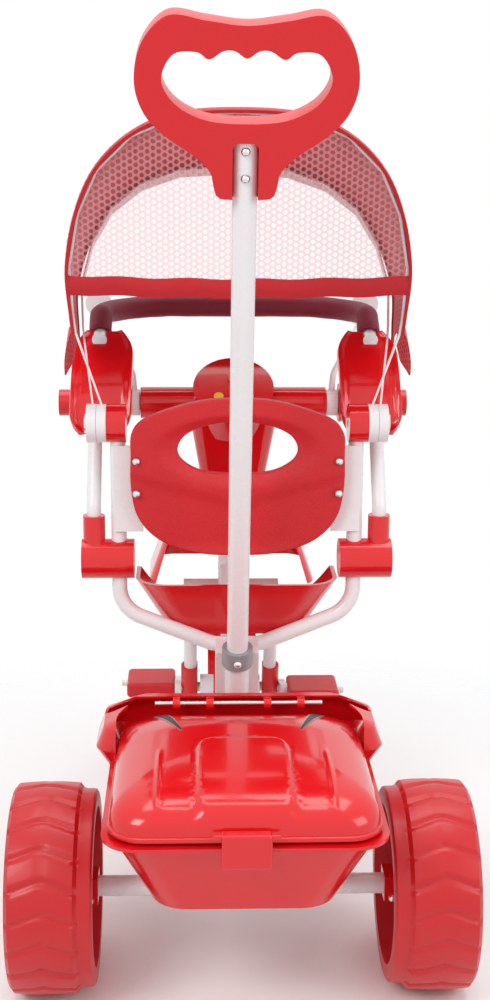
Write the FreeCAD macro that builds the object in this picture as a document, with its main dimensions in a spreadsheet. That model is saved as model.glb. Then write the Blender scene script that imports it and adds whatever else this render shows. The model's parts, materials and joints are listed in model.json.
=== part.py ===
"""Children's push tricycle: a parametric FreeCAD document, one object for each piece.

Frame: +Y is the way it rolls, +X is the rider's right, +Z is up, and the origin is the middle
of the footprint on the ground. Pieces are drawn from the rear axle and shifted by REAR_AXLE_Y.
"""
import FreeCAD, Part
import Sketcher
import math
import os
import re
from types import SimpleNamespace

VECTOR = FreeCAD.Vector
ACROSS, ALONG, UP = VECTOR(1, 0, 0), VECTOR(0, 1, 0), VECTOR(0, 0, 1)
HALF_TURN, FULL_TURN = 180.0, 360.0
LEFT, RIGHT = -1, 1
SIDES = {"left": LEFT, "right": RIGHT}

# Driving dimensions in millimetres and degrees.
SIZES = dict(
    # wheels
    wheelbase=480, rear_overhang=152, rear_wheel_radius=100, front_wheel_radius=125,
    overall_width=438, rear_tyre_width=67, rear_tyre_wall=20, tyre_crown=4,
    flange_radius=93, flange_width=13, front_tyre_width=44, front_tyre_wall=20,
    rim_disc=5, rim_hub_radius=16, rim_window_radius=12, rim_window_circle=46, rim_windows=6,
    # running fits and clearances
    running_clearance=0.08, part_clearance=0.3, cloth_clearance=3.4,
    # rear axle
    axle_rod_radius=6, axle_tube_radius=10, axle_tube_half=146, bracket_width=16,
    bracket_height=26, bracket_depth=28, cap_radius=30, cap_depth=9,
    # frame tubes
    main_tube_radius=14, main_tube_bend=90, main_tube_rise_y=232, main_tube_low=104,
    head_tube_radius=16, head_tube_length=64, head_height=306, steering_lean=14,
    steerer_radius=10, axis_offset=9,
    # push bar
    push_tube_radius=11, socket_wall=1.6, push_lean=17, collar_y=165, collar_height=268,
    collar_radius=16, collar_length=20, socket_depth=120, push_length=514, fin_height=100,
    handle_thickness=27, handle_round=8, handle_seat=48, handle_screw_low=14.4,
    handle_screw_high=38.4,
    # seat frame, seat and backrest
    frame_tube_radius=8, seat_tube_x=124, seat_tube_y=200, seat_tube_top=506,
    seat_bend_height=318, seat_cross_y=191, seat_cross_height=281, seat_cross_half=25,
    seat_bend=34, seat_floor_back=202, seat_floor_front=329,
    seat_floor=288, seat_rim=352, seat_half_width=107, seat_floor_half_width=74,
    seat_back_y=168, seat_front_y=346, plastic_wall=3,
    backrest_half_width=110, backrest_low=381, backrest_high=547, backrest_thickness=16,
    backrest_hole_half_width=62, backrest_hole_height=45, backrest_hole_centre=496,
    backrest_shoulder=520, plate_thickness=3, plate_low=405,
    # luggage box
    box_floor=128, box_rim=207, box_half_width=121, box_floor_half_width=85, box_back=-134,
    box_front=112, box_wall=2.5, box_corner=34, lip_width=7, lip_thickness=3,
    cowl_half_width=143, cowl_back=52, cowl_front=136, cowl_high=250, lid_high=253,
    lid_hinge_y=106, lid_hinge_height=246, hinge_pin_radius=2.5, latch_width=44,
    latch_height=32, latch_thickness=11, lid_gap=1.5, lid_back_pull=1.6, ear_near=25.5,
    ear_far=59.5, ear_width=7.5, ear_radius=6, ear_web_front=125, lid_swing_radius=10.5, knuckle_width=10,
    knuckle_radius=5, wedge_half_width=13.3, wedge_x=72, wedge_front=85, foil_thickness=1.2,
    # canopy
    hub_y=200, hub_height=518, hub_radius=20, hub_clamp_inner=115, hub_clamp_outer=135,
    hub_ring_width=10, hub_pin_radius=5, canopy_radius=319, canopy_half_width=172,
    canopy_skirt_radius=96, cloth_thickness=2, hoop_thickness=2, rear_hoop_angle=-10,
    cloth_seam_angle=14, front_hoop_angle=37, hoop_sweep=2.6, window_height=665,
    hoop_foot_radius=18,
    # guard
    pivot_height=373, pivot_radius=21, pivot_inner=108, pivot_split=132, pivot_outer=163,
    socket_height=420, guard_tube_radius=7.5, guard_tube_x=150, armrest_inner=113,
    armrest_outer=178, armrest_thickness=10, armrest_low_y=226, armrest_low=503,
    armrest_high_y=300, armrest_high=603, ring_radius=8, foam_radius=12.5,
    ring_half_width=147, ring_front_y=402, ring_height=618, ring_bend=72, cup_wall=4,
    post_depth=28, armrest_bulge=10.4, foam_start=20,
    # steering
    fork_x=50, fork_tube_radius=8, crown_thickness=12, crown_depth=28, dropout_radius=12,
    dropout_length=34, mudguard_radius=134, mudguard_half_width=29, bar_radius=9,
    bar_half_length=196, bar_height=510, grip_radius=15, grip_start=121, grip_flange=22,
    grip_flange_width=4, console_radius=46, console_thickness=42, console_tilt=38,
    console_arm_radius=18, console_arm_half=106, button_radius=5.5, button_travel=2,
    button_x=17, button_height=5, button_drop=16, lens_radius=7, lens_rise=14,
    console_rise=26, column_low=402, column_high=492, column_low_half=34,
    column_low_back=26, column_low_front=22, column_low_corner=12, column_high_half=49,
    column_high_back=34, column_high_front=30, column_high_corner=16, cover_half_width=22,
    cover_back=60, cover_margin=20, mudguard_low=60, mudguard_boss=14.4,
    cowl_shell_half_width=100, cowl_shell_low=283, cowl_shell_high=398,
    cowl_shell_waist=80, cowl_shell_top=36, cowl_shell_corner=30, cowl_shell_nose=69,
    # cranks, pedals, mirrors
    crank_throw=55, crank_tilt=15, crank_inner=62, crank_thickness=8, crank_width=18,
    pedal_length=62, pedal_width=62, pedal_thickness=20, pedal_axle_radius=4,
    crank_arm_width=14.4, mirror_x=156, mirror_y=432, mirror_height=618,
    mirror_stalk_radius=3.5, mirror_radius=15, mirror_half_depth=5, mirror_neck=12,
    stalk_foot_x=112, stalk_knee_x=115, stalk_knee_rise=34, stalk_bend=14, band_width=13,
    # screws
    screw_head_radius=4.2, screw_head_height=2.4, screw_shank_radius=2, screw_length=8,
)
size = SimpleNamespace(**SIZES)

# Outlines as (across, up) from the bottom middle to the top middle, on the rider's right.
HANDLE_OUTLINE = ((0, -2), (22, 0), (28, 12), (31, 24), (44, 38), (86, 72), (95, 102),
                  (86, 135), (64, 156), (34, 152), (0, 148))
HANDLE_HOLE = ((0, 67), (34, 70), (62, 84), (72, 103), (58, 124), (35, 121), (18, 127), (0, 121))
# The hood's outline as shares of its half width and of its height over the hubs.
HOOD_OUTLINE = ((0, 1), (0.36, 0.985), (0.62, 0.925), (0.82, 0.82), (0.94, 0.68), (1, 0.51),
                (0.985, 0.36))
# The lid's dome as (thirds of its height, drawn in) and the shield as (share of height, drawn in).
LID_DOME = ((0, 0), (1, 2.5), (2, 10), (2.9, 30))
SHIELD_FLARE = ((0.12, 52), (0.5, 18), (0.72, 0), (0.9, 8), (1, 34))

# Places that follow from the driving dimensions, as expressions for the document.
REAR_AXLE_Y = "(rear_overhang - wheelbase - front_wheel_radius) / 2"
AXLE_Z = "rear_wheel_radius"
TYRE_INNER = "overall_width / 2 - rear_tyre_width"
TYRE_BORE = "rear_wheel_radius - rear_tyre_wall"
FRONT_BORE = "front_wheel_radius - front_tyre_wall"

doc = FreeCAD.newDocument("Tricycle")
sheet = doc.addObject("Spreadsheet::Sheet", "Sizes")
for row, (alias, number) in enumerate(SIZES.items(), start=1):
    sheet.set(f"A{row}", alias)
    sheet.set(f"B{row}", str(number))
    sheet.setAlias(f"B{row}", alias)
doc.recompute()
nodes = []


def bind(thing, target, words):
    """Bind a property or constraint to an expression of sheet aliases."""
    thing.setExpression(target, re.sub(r"\b([a-z][a-z_]+)\b", r"Sizes.\1", str(words)))


def place(thing, across="0", along="0", up="0"):
    """Set a piece's place, measured from the rear axle, on the ground and in the middle."""
    bind(thing, "Placement.Base.x", across)
    bind(thing, "Placement.Base.y", f"{REAR_AXLE_Y} + {along}")
    bind(thing, "Placement.Base.z", up)


def keep(thing, label):
    """Name a finished piece and put it on the list of nodes."""
    thing.Label = label
    nodes.append(thing)
    return thing


# --- helpers: Part Design bodies -------------------------------------------------------------

def new_body(name):
    return doc.addObject("PartDesign::Body", name)


def attached_sketch(body, name, role):
    sketch = body.newObject("Sketcher::SketchObject", name)
    plane = next(item for item in body.Origin.OriginFeatures if item.Role == role)
    sketch.AttachmentSupport = (plane, [""])
    sketch.MapMode = "FlatFace"
    return sketch


def draw_outline(sketch, points):
    """Draw a closed outline whose corners are held by expressions of the sheet."""
    first = sketch.GeometryCount
    count = len(points)
    spot = [VECTOR(math.cos(FULL_TURN * k / count), k, 0) for k in range(count)]
    for k in range(count):
        sketch.addGeometry(Part.LineSegment(spot[k], spot[(k + 1) % count]), False)
    for k, (across, up) in enumerate(points):
        line = first + k
        following = first + (k + 1) % count
        sketch.addConstraint(Sketcher.Constraint("Coincident", line, 2, following, 1))
        for kind, words in (("DistanceX", across), ("DistanceY", up)):
            index = sketch.addConstraint(Sketcher.Constraint(kind, -1, 1, line, 1, 1.0))
            bind(sketch, f"Constraints[{index}]", words)


def draw_circle(sketch, across, up, radius):
    """Draw a circle held by expressions of the sheet."""
    ring = sketch.addGeometry(Part.Circle(VECTOR(1, 1, 0), UP, 1.0), False)
    for kind, words in (("DistanceX", across), ("DistanceY", up)):
        index = sketch.addConstraint(Sketcher.Constraint(kind, -1, 1, ring, 3, 1.0))
        bind(sketch, f"Constraints[{index}]", words)
    index = sketch.addConstraint(Sketcher.Constraint("Radius", ring, 1.0))
    bind(sketch, f"Constraints[{index}]", radius)


def revolved(name, points):
    """Turn an outline of (distance along X, radius) about the X axis."""
    body = new_body(name)
    sketch = attached_sketch(body, f"{name}_profile", "XY_Plane")
    draw_outline(sketch, points)
    turn = body.newObject("PartDesign::Revolution", f"{name}_turn")
    turn.Profile = sketch
    turn.ReferenceAxis = (sketch, ["H_Axis"])
    turn.Angle = FULL_TURN
    body.Tip = turn
    return body


def padded(name, role, points, thickness, holes=()):
    """Pad an outline evenly to both sides of its plane, with round holes (across, up, radius)."""
    body = new_body(name)
    sketch = attached_sketch(body, f"{name}_outline", role)
    draw_outline(sketch, points)
    for across, up, radius in holes:
        draw_circle(sketch, across, up, radius)
    pad = body.newObject("PartDesign::Pad", f"{name}_pad")
    pad.Profile = sketch
    pad.SideType = "Symmetric"
    bind(pad, "Length", thickness)
    body.Tip = pad
    return body


def rounded(body, radius, pick):
    """Fillet the edges of a body's tip that pick accepts."""
    doc.recompute()
    base = body.Tip
    names = [f"Edge{k}" for k, edge in enumerate(base.Shape.Edges, start=1) if pick(edge)]
    fillet = body.newObject("PartDesign::Fillet", f"{body.Name}_round")
    fillet.Base = (base, names)
    bind(fillet, "Radius", radius)
    body.Tip = fillet
    return body


# --- helpers: shapes made with Part's own functions -------------------------------------------

def freeform(label, shape, along=0.0):
    """Keep a shape drawn from the rear axle as a piece that follows the axle's place."""
    piece = doc.addObject("Part::Feature", label)
    piece.Shape = shape if shape.Placement.isIdentity() else Part.makeCompound([shape])
    place(piece, along=str(along))
    return keep(piece, label)


def bent_wire(points, bend):
    """Straight runs joined by tangent arcs of one bend radius."""
    edges = []
    start = points[0]
    for corner, after in zip(points[1:-1], points[2:]):
        before = (start - corner).normalize()
        onward = (after - corner).normalize()
        turn = math.pi - before.getAngle(onward)
        reach = bend * math.tan(turn / 2)
        enter, leave = corner + before * reach, corner + onward * reach
        inward = (before + onward).normalize()
        middle = corner + inward * (bend / math.cos(turn / 2) - bend)
        edges.append(Part.LineSegment(start, enter).toShape())
        edges.append(Part.Arc(enter, middle, leave).toShape())
        start = leave
    edges.append(Part.LineSegment(start, points[-1]).toShape())
    return Part.Wire(edges)


def bent_rod(points, radius, bend):
    """A round bar along straight runs and arcs."""
    wire = bent_wire(points, bend)
    ring = Part.Wire(Part.makeCircle(radius, points[0], points[1] - points[0]))
    return Part.Wire(wire).makePipeShell([ring], True, True)


def rod(start, end, radius):
    way = end - start
    return Part.makeCylinder(radius, way.Length, start, way)


def block(low, high):
    extent = high - low
    return Part.makeBox(extent.x, extent.y, extent.z, low)


def rounded_section(half_width, back, front, corner, height):
    """A rounded rectangle at a height."""
    low, high = VECTOR(-half_width, back, 0), VECTOR(half_width, front, 0)
    corners = [low, VECTOR(high.x, low.y, 0), high, VECTOR(low.x, high.y, 0)]
    middles = [(corners[k - 1] + corners[k]) * 0.5 for k in range(4)]
    edges = []
    for k in range(4):
        before = (middles[k] - corners[k]).normalize()
        onward = (middles[(k + 1) % 4] - corners[k]).normalize()
        enter, leave = corners[k] + before * corner, corners[k] + onward * corner
        bulge = corners[k] + (before + onward) * corner * (1 - math.sqrt(0.5))
        edges.append(Part.LineSegment(middles[k], enter).toShape())
        edges.append(Part.Arc(enter, bulge, leave).toShape())
        edges.append(Part.LineSegment(leave, middles[(k + 1) % 4]).toShape())
    wire = Part.Wire(edges)
    wire.translate(UP * height)
    return wire


def loft(sections):
    return Part.makeLoft(sections, True, True)


def mirrored(shape):
    return shape.mirror(VECTOR(0, 0, 0), ACROSS)


def both_sides(shape):
    return Part.makeCompound([shape, mirrored(shape)])


def tidy(shape):
    """Drop the seams that booleans leave, and unwrap a lone solid."""
    shape = shape.removeSplitter()
    return shape.Solids[0] if len(shape.Solids) == 1 else shape


# --- places shared by the shapes, measured from the rear axle ---------------------------------

AXLE = VECTOR(0, 0, size.rear_wheel_radius)
FRONT_AXLE = VECTOR(0, size.wheelbase, size.front_wheel_radius)
lean = math.radians(size.steering_lean)
STEER_UP = VECTOR(0, -math.sin(lean), math.cos(lean))
STEER_FOOT = FRONT_AXLE - VECTOR(0, size.axis_offset, 0)


def on_steering_axis(height):
    return STEER_FOOT + STEER_UP * ((height - STEER_FOOT.z) / STEER_UP.z)


push_lean = math.radians(size.push_lean)
PUSH_UP = VECTOR(0, -math.sin(push_lean), math.cos(push_lean))
COLLAR = VECTOR(0, size.collar_y, size.collar_height)
HUB = VECTOR(0, size.hub_y, size.hub_height)
HEAD = on_steering_axis(size.head_height)
BAR = on_steering_axis(size.bar_height)

# --- rear wheels -----------------------------------------------------------------------------

for side_name, side in SIDES.items():
    inner, outer = f"{side} * ({TYRE_INNER})", f"{side} * overall_width / 2"
    flange = f"{side} * ({TYRE_INNER} - flange_width)"
    shoulder_in = f"{side} * ({TYRE_INNER} + 3 * tyre_crown)"
    shoulder_out = f"{side} * (overall_width / 2 - 3 * tyre_crown)"
    tyre = revolved(f"rear_tyre_{side_name}", [
        (flange, f"{TYRE_BORE} - rim_disc"), (flange, "flange_radius - tyre_crown"),
        (f"{side} * ({TYRE_INNER} - flange_width + tyre_crown)", "flange_radius"),
        (inner, "flange_radius"), (inner, "rear_wheel_radius - tyre_crown"),
        (shoulder_in, "rear_wheel_radius"), (shoulder_out, "rear_wheel_radius"),
        (outer, "rear_wheel_radius - tyre_crown"), (outer, TYRE_BORE),
        (inner, TYRE_BORE), (inner, f"{TYRE_BORE} - rim_disc")])
    place(tyre, up=AXLE_Z)
    keep(tyre, f"rear_tyre_{side_name}")

    face_in = f"{side} * ({TYRE_INNER} + bracket_width - rim_disc)"
    face_out = f"{side} * (overall_width / 2 - cap_depth - rim_disc)"
    hub_in = f"{side} * (axle_tube_half + bracket_width / 2 + part_clearance)"
    bore = "axle_rod_radius + running_clearance"
    rim = revolved(f"rear_rim_{side_name}", [
        (hub_in, bore), (hub_in, "rim_hub_radius"), (face_in, "rim_hub_radius"),
        (face_in, TYRE_BORE), (f"{face_in} + {side} * rim_disc", TYRE_BORE),
        (f"{face_in} + {side} * rim_disc", "rim_hub_radius"), (face_out, "rim_hub_radius"),
        (face_out, TYRE_BORE), (f"{face_out} + {side} * rim_disc", TYRE_BORE),
        (f"{face_out} + {side} * rim_disc", bore)])
    sketch = attached_sketch(rim, f"rear_rim_{side_name}_window", "YZ_Plane")
    draw_circle(sketch, "0", "rim_window_circle", "rim_window_radius")
    window = rim.newObject("PartDesign::Pocket", f"rear_rim_{side_name}_window_cut")
    window.Profile = sketch
    window.Type = "ThroughAll"
    window.SideType = "Symmetric"
    ring = rim.newObject("PartDesign::PolarPattern", f"rear_rim_{side_name}_windows")
    ring.Originals = [window]
    ring.Axis = (next(a for a in rim.Origin.OriginFeatures if a.Role == "X_Axis"), [""])
    ring.Angle = FULL_TURN
    bind(ring, "Occurrences", "rim_windows")
    rim.Tip = ring
    place(rim, up=AXLE_Z)
    keep(rim, f"rear_rim_{side_name}")

    cap_base = f"{side} * (overall_width / 2 - cap_depth)"
    cap_face = f"{side} * (overall_width / 2 - tyre_crown / 2)"
    cap = revolved(f"hub_cap_{side_name}", [
        (cap_base, "axle_rod_radius + box_wall"), (cap_base, "cap_radius"),
        (f"{side} * (overall_width / 2 - tyre_crown)", "cap_radius - tyre_crown"),
        (cap_face, "cap_radius / 2"), (cap_face, "0"),
        (f"{cap_face} - {side} * box_wall", "0"),
        (f"{cap_face} - {side} * box_wall", "axle_rod_radius + box_wall")])
    place(cap, up=AXLE_Z)
    keep(cap, f"hub_cap_{side_name}")

# --- rear axle and frame ----------------------------------------------------------------------

bracket_inner = size.axle_tube_half - size.bracket_width / 2
bracket_outer = size.axle_tube_half + size.bracket_width / 2
axle_tube = rod(AXLE - ACROSS * size.axle_tube_half, AXLE + ACROSS * size.axle_tube_half,
                size.axle_tube_radius)
axle_rod = rod(AXLE - ACROSS * (size.overall_width / 2 - size.cap_depth),
               AXLE + ACROSS * (size.overall_width / 2 - size.cap_depth), size.axle_rod_radius)
freeform("rear_axle_tube", axle_tube.cut(axle_rod))
freeform("rear_axle_rod", axle_rod)
bracket = block(VECTOR(bracket_inner, -size.bracket_depth / 2, AXLE.z - size.bracket_height / 2),
                VECTOR(bracket_outer, size.bracket_depth / 2, AXLE.z + size.bracket_height / 2))
freeform("axle_brackets", both_sides(tidy(bracket.cut(axle_tube).cut(axle_rod))))

main_start = VECTOR(0, 0, size.main_tube_low)
main_low = VECTOR(0, size.main_tube_rise_y, size.main_tube_low)
main_tube = bent_rod([main_start, main_low, HEAD], size.main_tube_radius, size.main_tube_bend)
head_half = STEER_UP * (size.head_tube_length / 2)
head_outer = rod(HEAD - head_half, HEAD + head_half, size.head_tube_radius)
head_bore = rod(HEAD - head_half * 2, HEAD + head_half * 2,
                size.steerer_radius + size.running_clearance)
freeform("head_tube", head_outer.cut(head_bore))

socket_radius = size.push_tube_radius + size.running_clearance + size.socket_wall
socket_foot = COLLAR - PUSH_UP * ((COLLAR.z - size.main_tube_low) / PUSH_UP.z)
socket_outer = rod(socket_foot, COLLAR, socket_radius)
push_bore_start = COLLAR - PUSH_UP * (size.socket_depth + size.part_clearance)
push_bore = rod(push_bore_start, COLLAR + PUSH_UP * size.collar_length,
                size.push_tube_radius + size.running_clearance)
main_tube = tidy(main_tube.cut(axle_tube).cut(axle_rod).cut(head_outer))
freeform("main_tube", main_tube)

cross_y, cross_z = size.seat_cross_y, size.seat_cross_height
seat_path = [VECTOR(size.seat_tube_x, size.seat_tube_y, size.seat_tube_top),
             VECTOR(size.seat_tube_x, size.seat_tube_y, size.seat_bend_height),
             VECTOR(size.seat_cross_half, cross_y, cross_z)]
seat_path += [VECTOR(-point.x, point.y, point.z) for point in reversed(seat_path)]
seat_tube = bent_rod(seat_path, size.frame_tube_radius, size.seat_bend)
freeform("seat_frame_tube", seat_tube)

fin = block(VECTOR(socket_radius - size.socket_wall, COLLAR.y, COLLAR.z - size.fin_height),
            VECTOR(socket_radius + size.collar_length / 2, cross_y, cross_z))
fin.rotate(COLLAR, ACROSS, size.push_lean)
fins = fin.fuse(mirrored(fin)).cut(seat_tube)
socket = socket_outer.fuse([piece for piece in fins.Solids]).cut(push_bore).cut(main_tube)
collar = rod(COLLAR, COLLAR + PUSH_UP * size.collar_length, size.collar_radius).cut(push_bore)
freeform("push_bar_socket", tidy(socket.cut(seat_tube).cut(collar)))
freeform("socket_collar", collar)

# --- seat and backrest ------------------------------------------------------------------------

seat_middle = (size.seat_back_y + size.seat_front_y) / 2


def seat_bucket(inset):
    """The bucket's form, drawn in all round by an inset."""
    low = rounded_section(size.seat_floor_half_width - inset, size.seat_floor_back + inset,
                          size.seat_floor_front - inset, size.box_corner - inset,
                          size.seat_floor + inset)
    high = rounded_section(size.seat_half_width - inset, size.seat_back_y + inset,
                           size.seat_front_y - inset, size.box_corner - inset,
                           size.seat_rim + (size.plastic_wall if inset else 0))
    return loft([low, high])


seat_shell = seat_bucket(0).cut(seat_bucket(size.plastic_wall))
leg_low = size.seat_floor + 4 * size.plastic_wall
leg_opening = rod(VECTOR(-size.seat_half_width, size.seat_front_y, size.seat_rim + leg_low / 4),
                  VECTOR(size.seat_half_width, size.seat_front_y, size.seat_rim + leg_low / 4),
                  size.seat_rim + leg_low / 4 - leg_low)
seat_shell = tidy(seat_shell.cut(leg_opening).cut(seat_tube))
freeform("seat_pan", seat_shell)

post = rod(VECTOR(0, seat_middle, size.main_tube_low), VECTOR(0, seat_middle, size.seat_floor),
           size.main_tube_radius)
saddle = block(VECTOR(-size.seat_floor_half_width / 2, seat_middle - size.seat_bend,
                      size.seat_floor - size.plate_thickness),
               VECTOR(size.seat_floor_half_width / 2, seat_middle + size.seat_bend, size.seat_floor))
support = post.fuse(saddle).cut(main_tube)
freeform("seat_support", tidy(max(support.Solids, key=lambda solid: solid.Volume)))

half_width, shoulder = "backrest_half_width", "backrest_shoulder - backrest_low"
high = "backrest_high - backrest_low"
back = padded("backrest", "XZ_Plane", [
    ("-backrest_half_width / 2", "0"), (f"{half_width} / 2", "0"),
    (f"{half_width} * 0.86", f"({shoulder}) / 8"), (half_width, f"({shoulder}) / 3"),
    (half_width, shoulder), (f"{half_width} * 0.62", f"{high} - ({high}) / 25"),
    (f"{half_width} * 0.25", high), (f"-{half_width} * 0.25", high),
    (f"-{half_width} * 0.62", f"{high} - ({high}) / 25"), (f"-{half_width}", shoulder),
    (f"-{half_width}", f"({shoulder}) / 3"), (f"-{half_width} * 0.86", f"({shoulder}) / 8")],
    "backrest_thickness")
opening = attached_sketch(back, "backrest_opening", "XZ_Plane")
reach = "backrest_hole_half_width - backrest_hole_height / 2"
slot_low = "backrest_hole_centre - backrest_low - backrest_hole_height / 2"
slot_high = "backrest_hole_centre - backrest_low + backrest_hole_height / 2"
draw_outline(opening, [
    (f"-({reach})", slot_low), (reach, slot_low),
    ("backrest_hole_half_width", "backrest_hole_centre - backrest_low"), (reach, slot_high),
    (f"-({reach})", slot_high),
    ("-backrest_hole_half_width", "backrest_hole_centre - backrest_low")])
cut = back.newObject("PartDesign::Pocket", "backrest_opening_cut")
cut.Profile = opening
cut.Type = "ThroughAll"
cut.SideType = "Symmetric"
back.Tip = cut
rounded(back, "backrest_thickness / 4", lambda edge: abs(edge.tangentAt(edge.FirstParameter).y) < 0.5)
BACKREST_Y = "seat_tube_y - frame_tube_radius - plate_thickness - backrest_thickness / 2"
place(back, along=BACKREST_Y, up="backrest_low")
keep(back, "backrest")

plate_back = size.seat_tube_y - size.frame_tube_radius
plate = block(VECTOR(size.backrest_half_width - 4 * size.plate_thickness,
                     plate_back - size.plate_thickness, size.plate_low),
              VECTOR(size.seat_tube_x + size.frame_tube_radius / 2, plate_back,
                     size.backrest_hole_centre))
freeform("backrest_plates", both_sides(plate))


def screw(seat, inward, length=size.screw_length):
    """A domed screw whose head rests on its seat and whose shank runs inward."""
    head = Part.makeSphere(size.screw_head_radius, seat)
    flat = Part.makeCylinder(size.screw_head_radius * 2, size.screw_head_radius * 2, seat, inward)
    shank = rod(seat, seat + inward * length, size.screw_shank_radius)
    return tidy(head.cut(flat).fuse(shank))


screw_rise = size.seat_bend
screws = []
for rise in (0, screw_rise):
    spot = VECTOR(size.backrest_half_width - 2 * size.plate_thickness,
                  plate_back - size.plate_thickness - size.backrest_thickness,
                  size.backrest_low + 2 * screw_rise + rise)
    screws.append(screw(spot, ALONG))
bracket_screw = screw(VECTOR((bracket_inner + bracket_outer) / 2, -size.bracket_depth / 2,
                             AXLE.z - size.bracket_height / 2 + size.screw_head_radius), ALONG,
                      size.bracket_depth / 2 - size.axle_tube_radius)
screws.append(bracket_screw)
collar_front = COLLAR + PUSH_UP * (size.collar_length / 2)
toward_back = ALONG * math.cos(push_lean) + UP * math.sin(push_lean)
lone = screw(collar_front - toward_back * size.collar_radius, toward_back,
             size.collar_radius - size.push_tube_radius - size.part_clearance)
all_screws = screws + [mirrored(item) for item in screws] + [lone]
freeform("frame_screws", Part.makeCompound(all_screws))

# --- luggage box ------------------------------------------------------------------------------


def box_form(inset, top, grow=0.0):
    """The box's tub, drawn in all round by an inset, up to a height."""
    low = rounded_section(size.box_floor_half_width - inset, size.box_back + size.box_corner + inset,
                          size.box_front - size.lip_width - inset, size.box_corner - inset,
                          size.box_floor + inset)
    high = rounded_section(size.box_half_width + grow - inset, size.box_back - grow + inset,
                           size.box_front + grow - inset, size.box_corner - inset, top)
    return loft([low, high])


def lid_form(inset, low=0.0):
    """The domed lid, drawn in all round by an inset."""
    rim, high = size.box_rim + size.lip_thickness, size.lid_high
    step = (high - rim) / 3
    front = size.lid_hinge_y - size.hinge_pin_radius
    sections = []
    for rise, draw in LID_DOME:
        sections.append(rounded_section(
            size.box_half_width - draw - inset, size.box_back + size.lid_back_pull * draw + inset,
            front - draw / 4 - inset, size.box_corner - inset,
            rim + rise * step - (inset if rise else low)))
    return loft(sections)


rim_top = size.box_rim + size.lip_thickness
lip = Part.Face(rounded_section(size.box_half_width + size.lip_width, size.box_back - size.lip_width,
                                size.box_front, size.box_corner, size.box_rim - size.lip_thickness))
lip = lip.extrude(UP * size.lip_thickness)
tub = box_form(0, size.box_rim).fuse(lip)


def cowl_form(inset):
    """The flared shield in front of the lid, drawn in by an inset."""
    rise = size.cowl_high - size.box_floor
    sections = []
    for k, (share, draw) in enumerate(SHIELD_FLARE):
        height = size.box_floor + rise * share
        if k == 0:
            height += inset
        if k == len(SHIELD_FLARE) - 1:
            height -= inset
        sections.append(rounded_section(size.cowl_half_width - draw - inset, size.cowl_back + inset,
                                        size.cowl_front - draw / 3 - inset,
                                        size.box_corner - inset - 2 * size.lip_width, height))
    return loft(sections)


lid_solid = lid_form(0)
lid_room = lid_form(-size.lid_gap, size.lid_gap + size.lip_thickness)
swept_room = Part.Face(rounded_section(
    size.box_half_width + size.lid_gap, size.box_back - size.box_corner,
    size.lid_hinge_y - size.hinge_pin_radius + size.lid_gap, size.box_corner,
    rim_top - size.lid_gap)).extrude(UP * 2 * size.box_corner)
lid_room = lid_room.fuse([lid_room.translated(VECTOR(0, -size.cowl_back, 0)), swept_room])
cowl = cowl_form(0)
hinge = VECTOR(0, size.lid_hinge_y, size.lid_hinge_height)
swing_room = rod(hinge - ACROSS * size.cowl_half_width, hinge + ACROSS * size.cowl_half_width,
                 size.lid_swing_radius)
shield = cowl.cut(cowl_form(size.box_wall)).cut(lid_room).cut(swing_room)
shield = max(shield.Solids, key=lambda solid: solid.Volume)
hollow = box_form(size.box_wall, size.box_rim + size.lip_thickness)
tub_shell = tub.cut(hollow)
outer_shield = shield.cut(box_form(0, size.box_rim + size.lip_thickness))
tub_shell = tub_shell.fuse(max(outer_shield.Solids, key=lambda solid: solid.Volume))
ear_x = (size.ear_near, size.ear_far)
ears = []
for near in ear_x:
    outer_ear = rod(hinge + ACROSS * near, hinge + ACROSS * (near + size.ear_width),
                    size.ear_radius)
    web = block(VECTOR(near, hinge.y, hinge.z - size.hinge_pin_radius),
                VECTOR(near + size.ear_width, size.ear_web_front,
                       size.cowl_high - size.box_wall / 2))
    ears.append(outer_ear.fuse(web))
ear_rooms = [rod(hinge + ACROSS * (near - size.part_clearance),
                 hinge + ACROSS * (near + size.ear_width + size.part_clearance),
                 size.ear_radius + size.part_clearance) for near in ear_x]
ear_rooms += [mirrored(room) for room in ear_rooms]
pin = rod(hinge - ACROSS * size.box_floor_half_width, hinge + ACROSS * size.box_floor_half_width,
          size.hinge_pin_radius)
for ear in ears:
    tub_shell = tub_shell.fuse([ear, mirrored(ear)])
tub_shell = tidy(tub_shell.cut(pin).cut(push_bore).cut(socket_outer))
freeform("luggage_tub", tub_shell)
rest_half = size.box_floor_half_width / 2
rests = []
for spot_y, half in ((0, rest_half), (size.box_front - size.box_corner, size.main_tube_radius)):
    rest = block(VECTOR(-half, spot_y - size.axle_tube_radius, AXLE.z),
                 VECTOR(half, spot_y + size.axle_tube_radius, size.box_floor))
    rest = rest.cut(axle_tube).cut(axle_rod).cut(main_tube)
    rests.append(max(rest.Solids, key=lambda solid: solid.BoundBox.ZMax))
freeform("box_supports", Part.makeCompound(rests))
freeform("lid_hinge_pin", pin)
doc.recompute()

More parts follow.
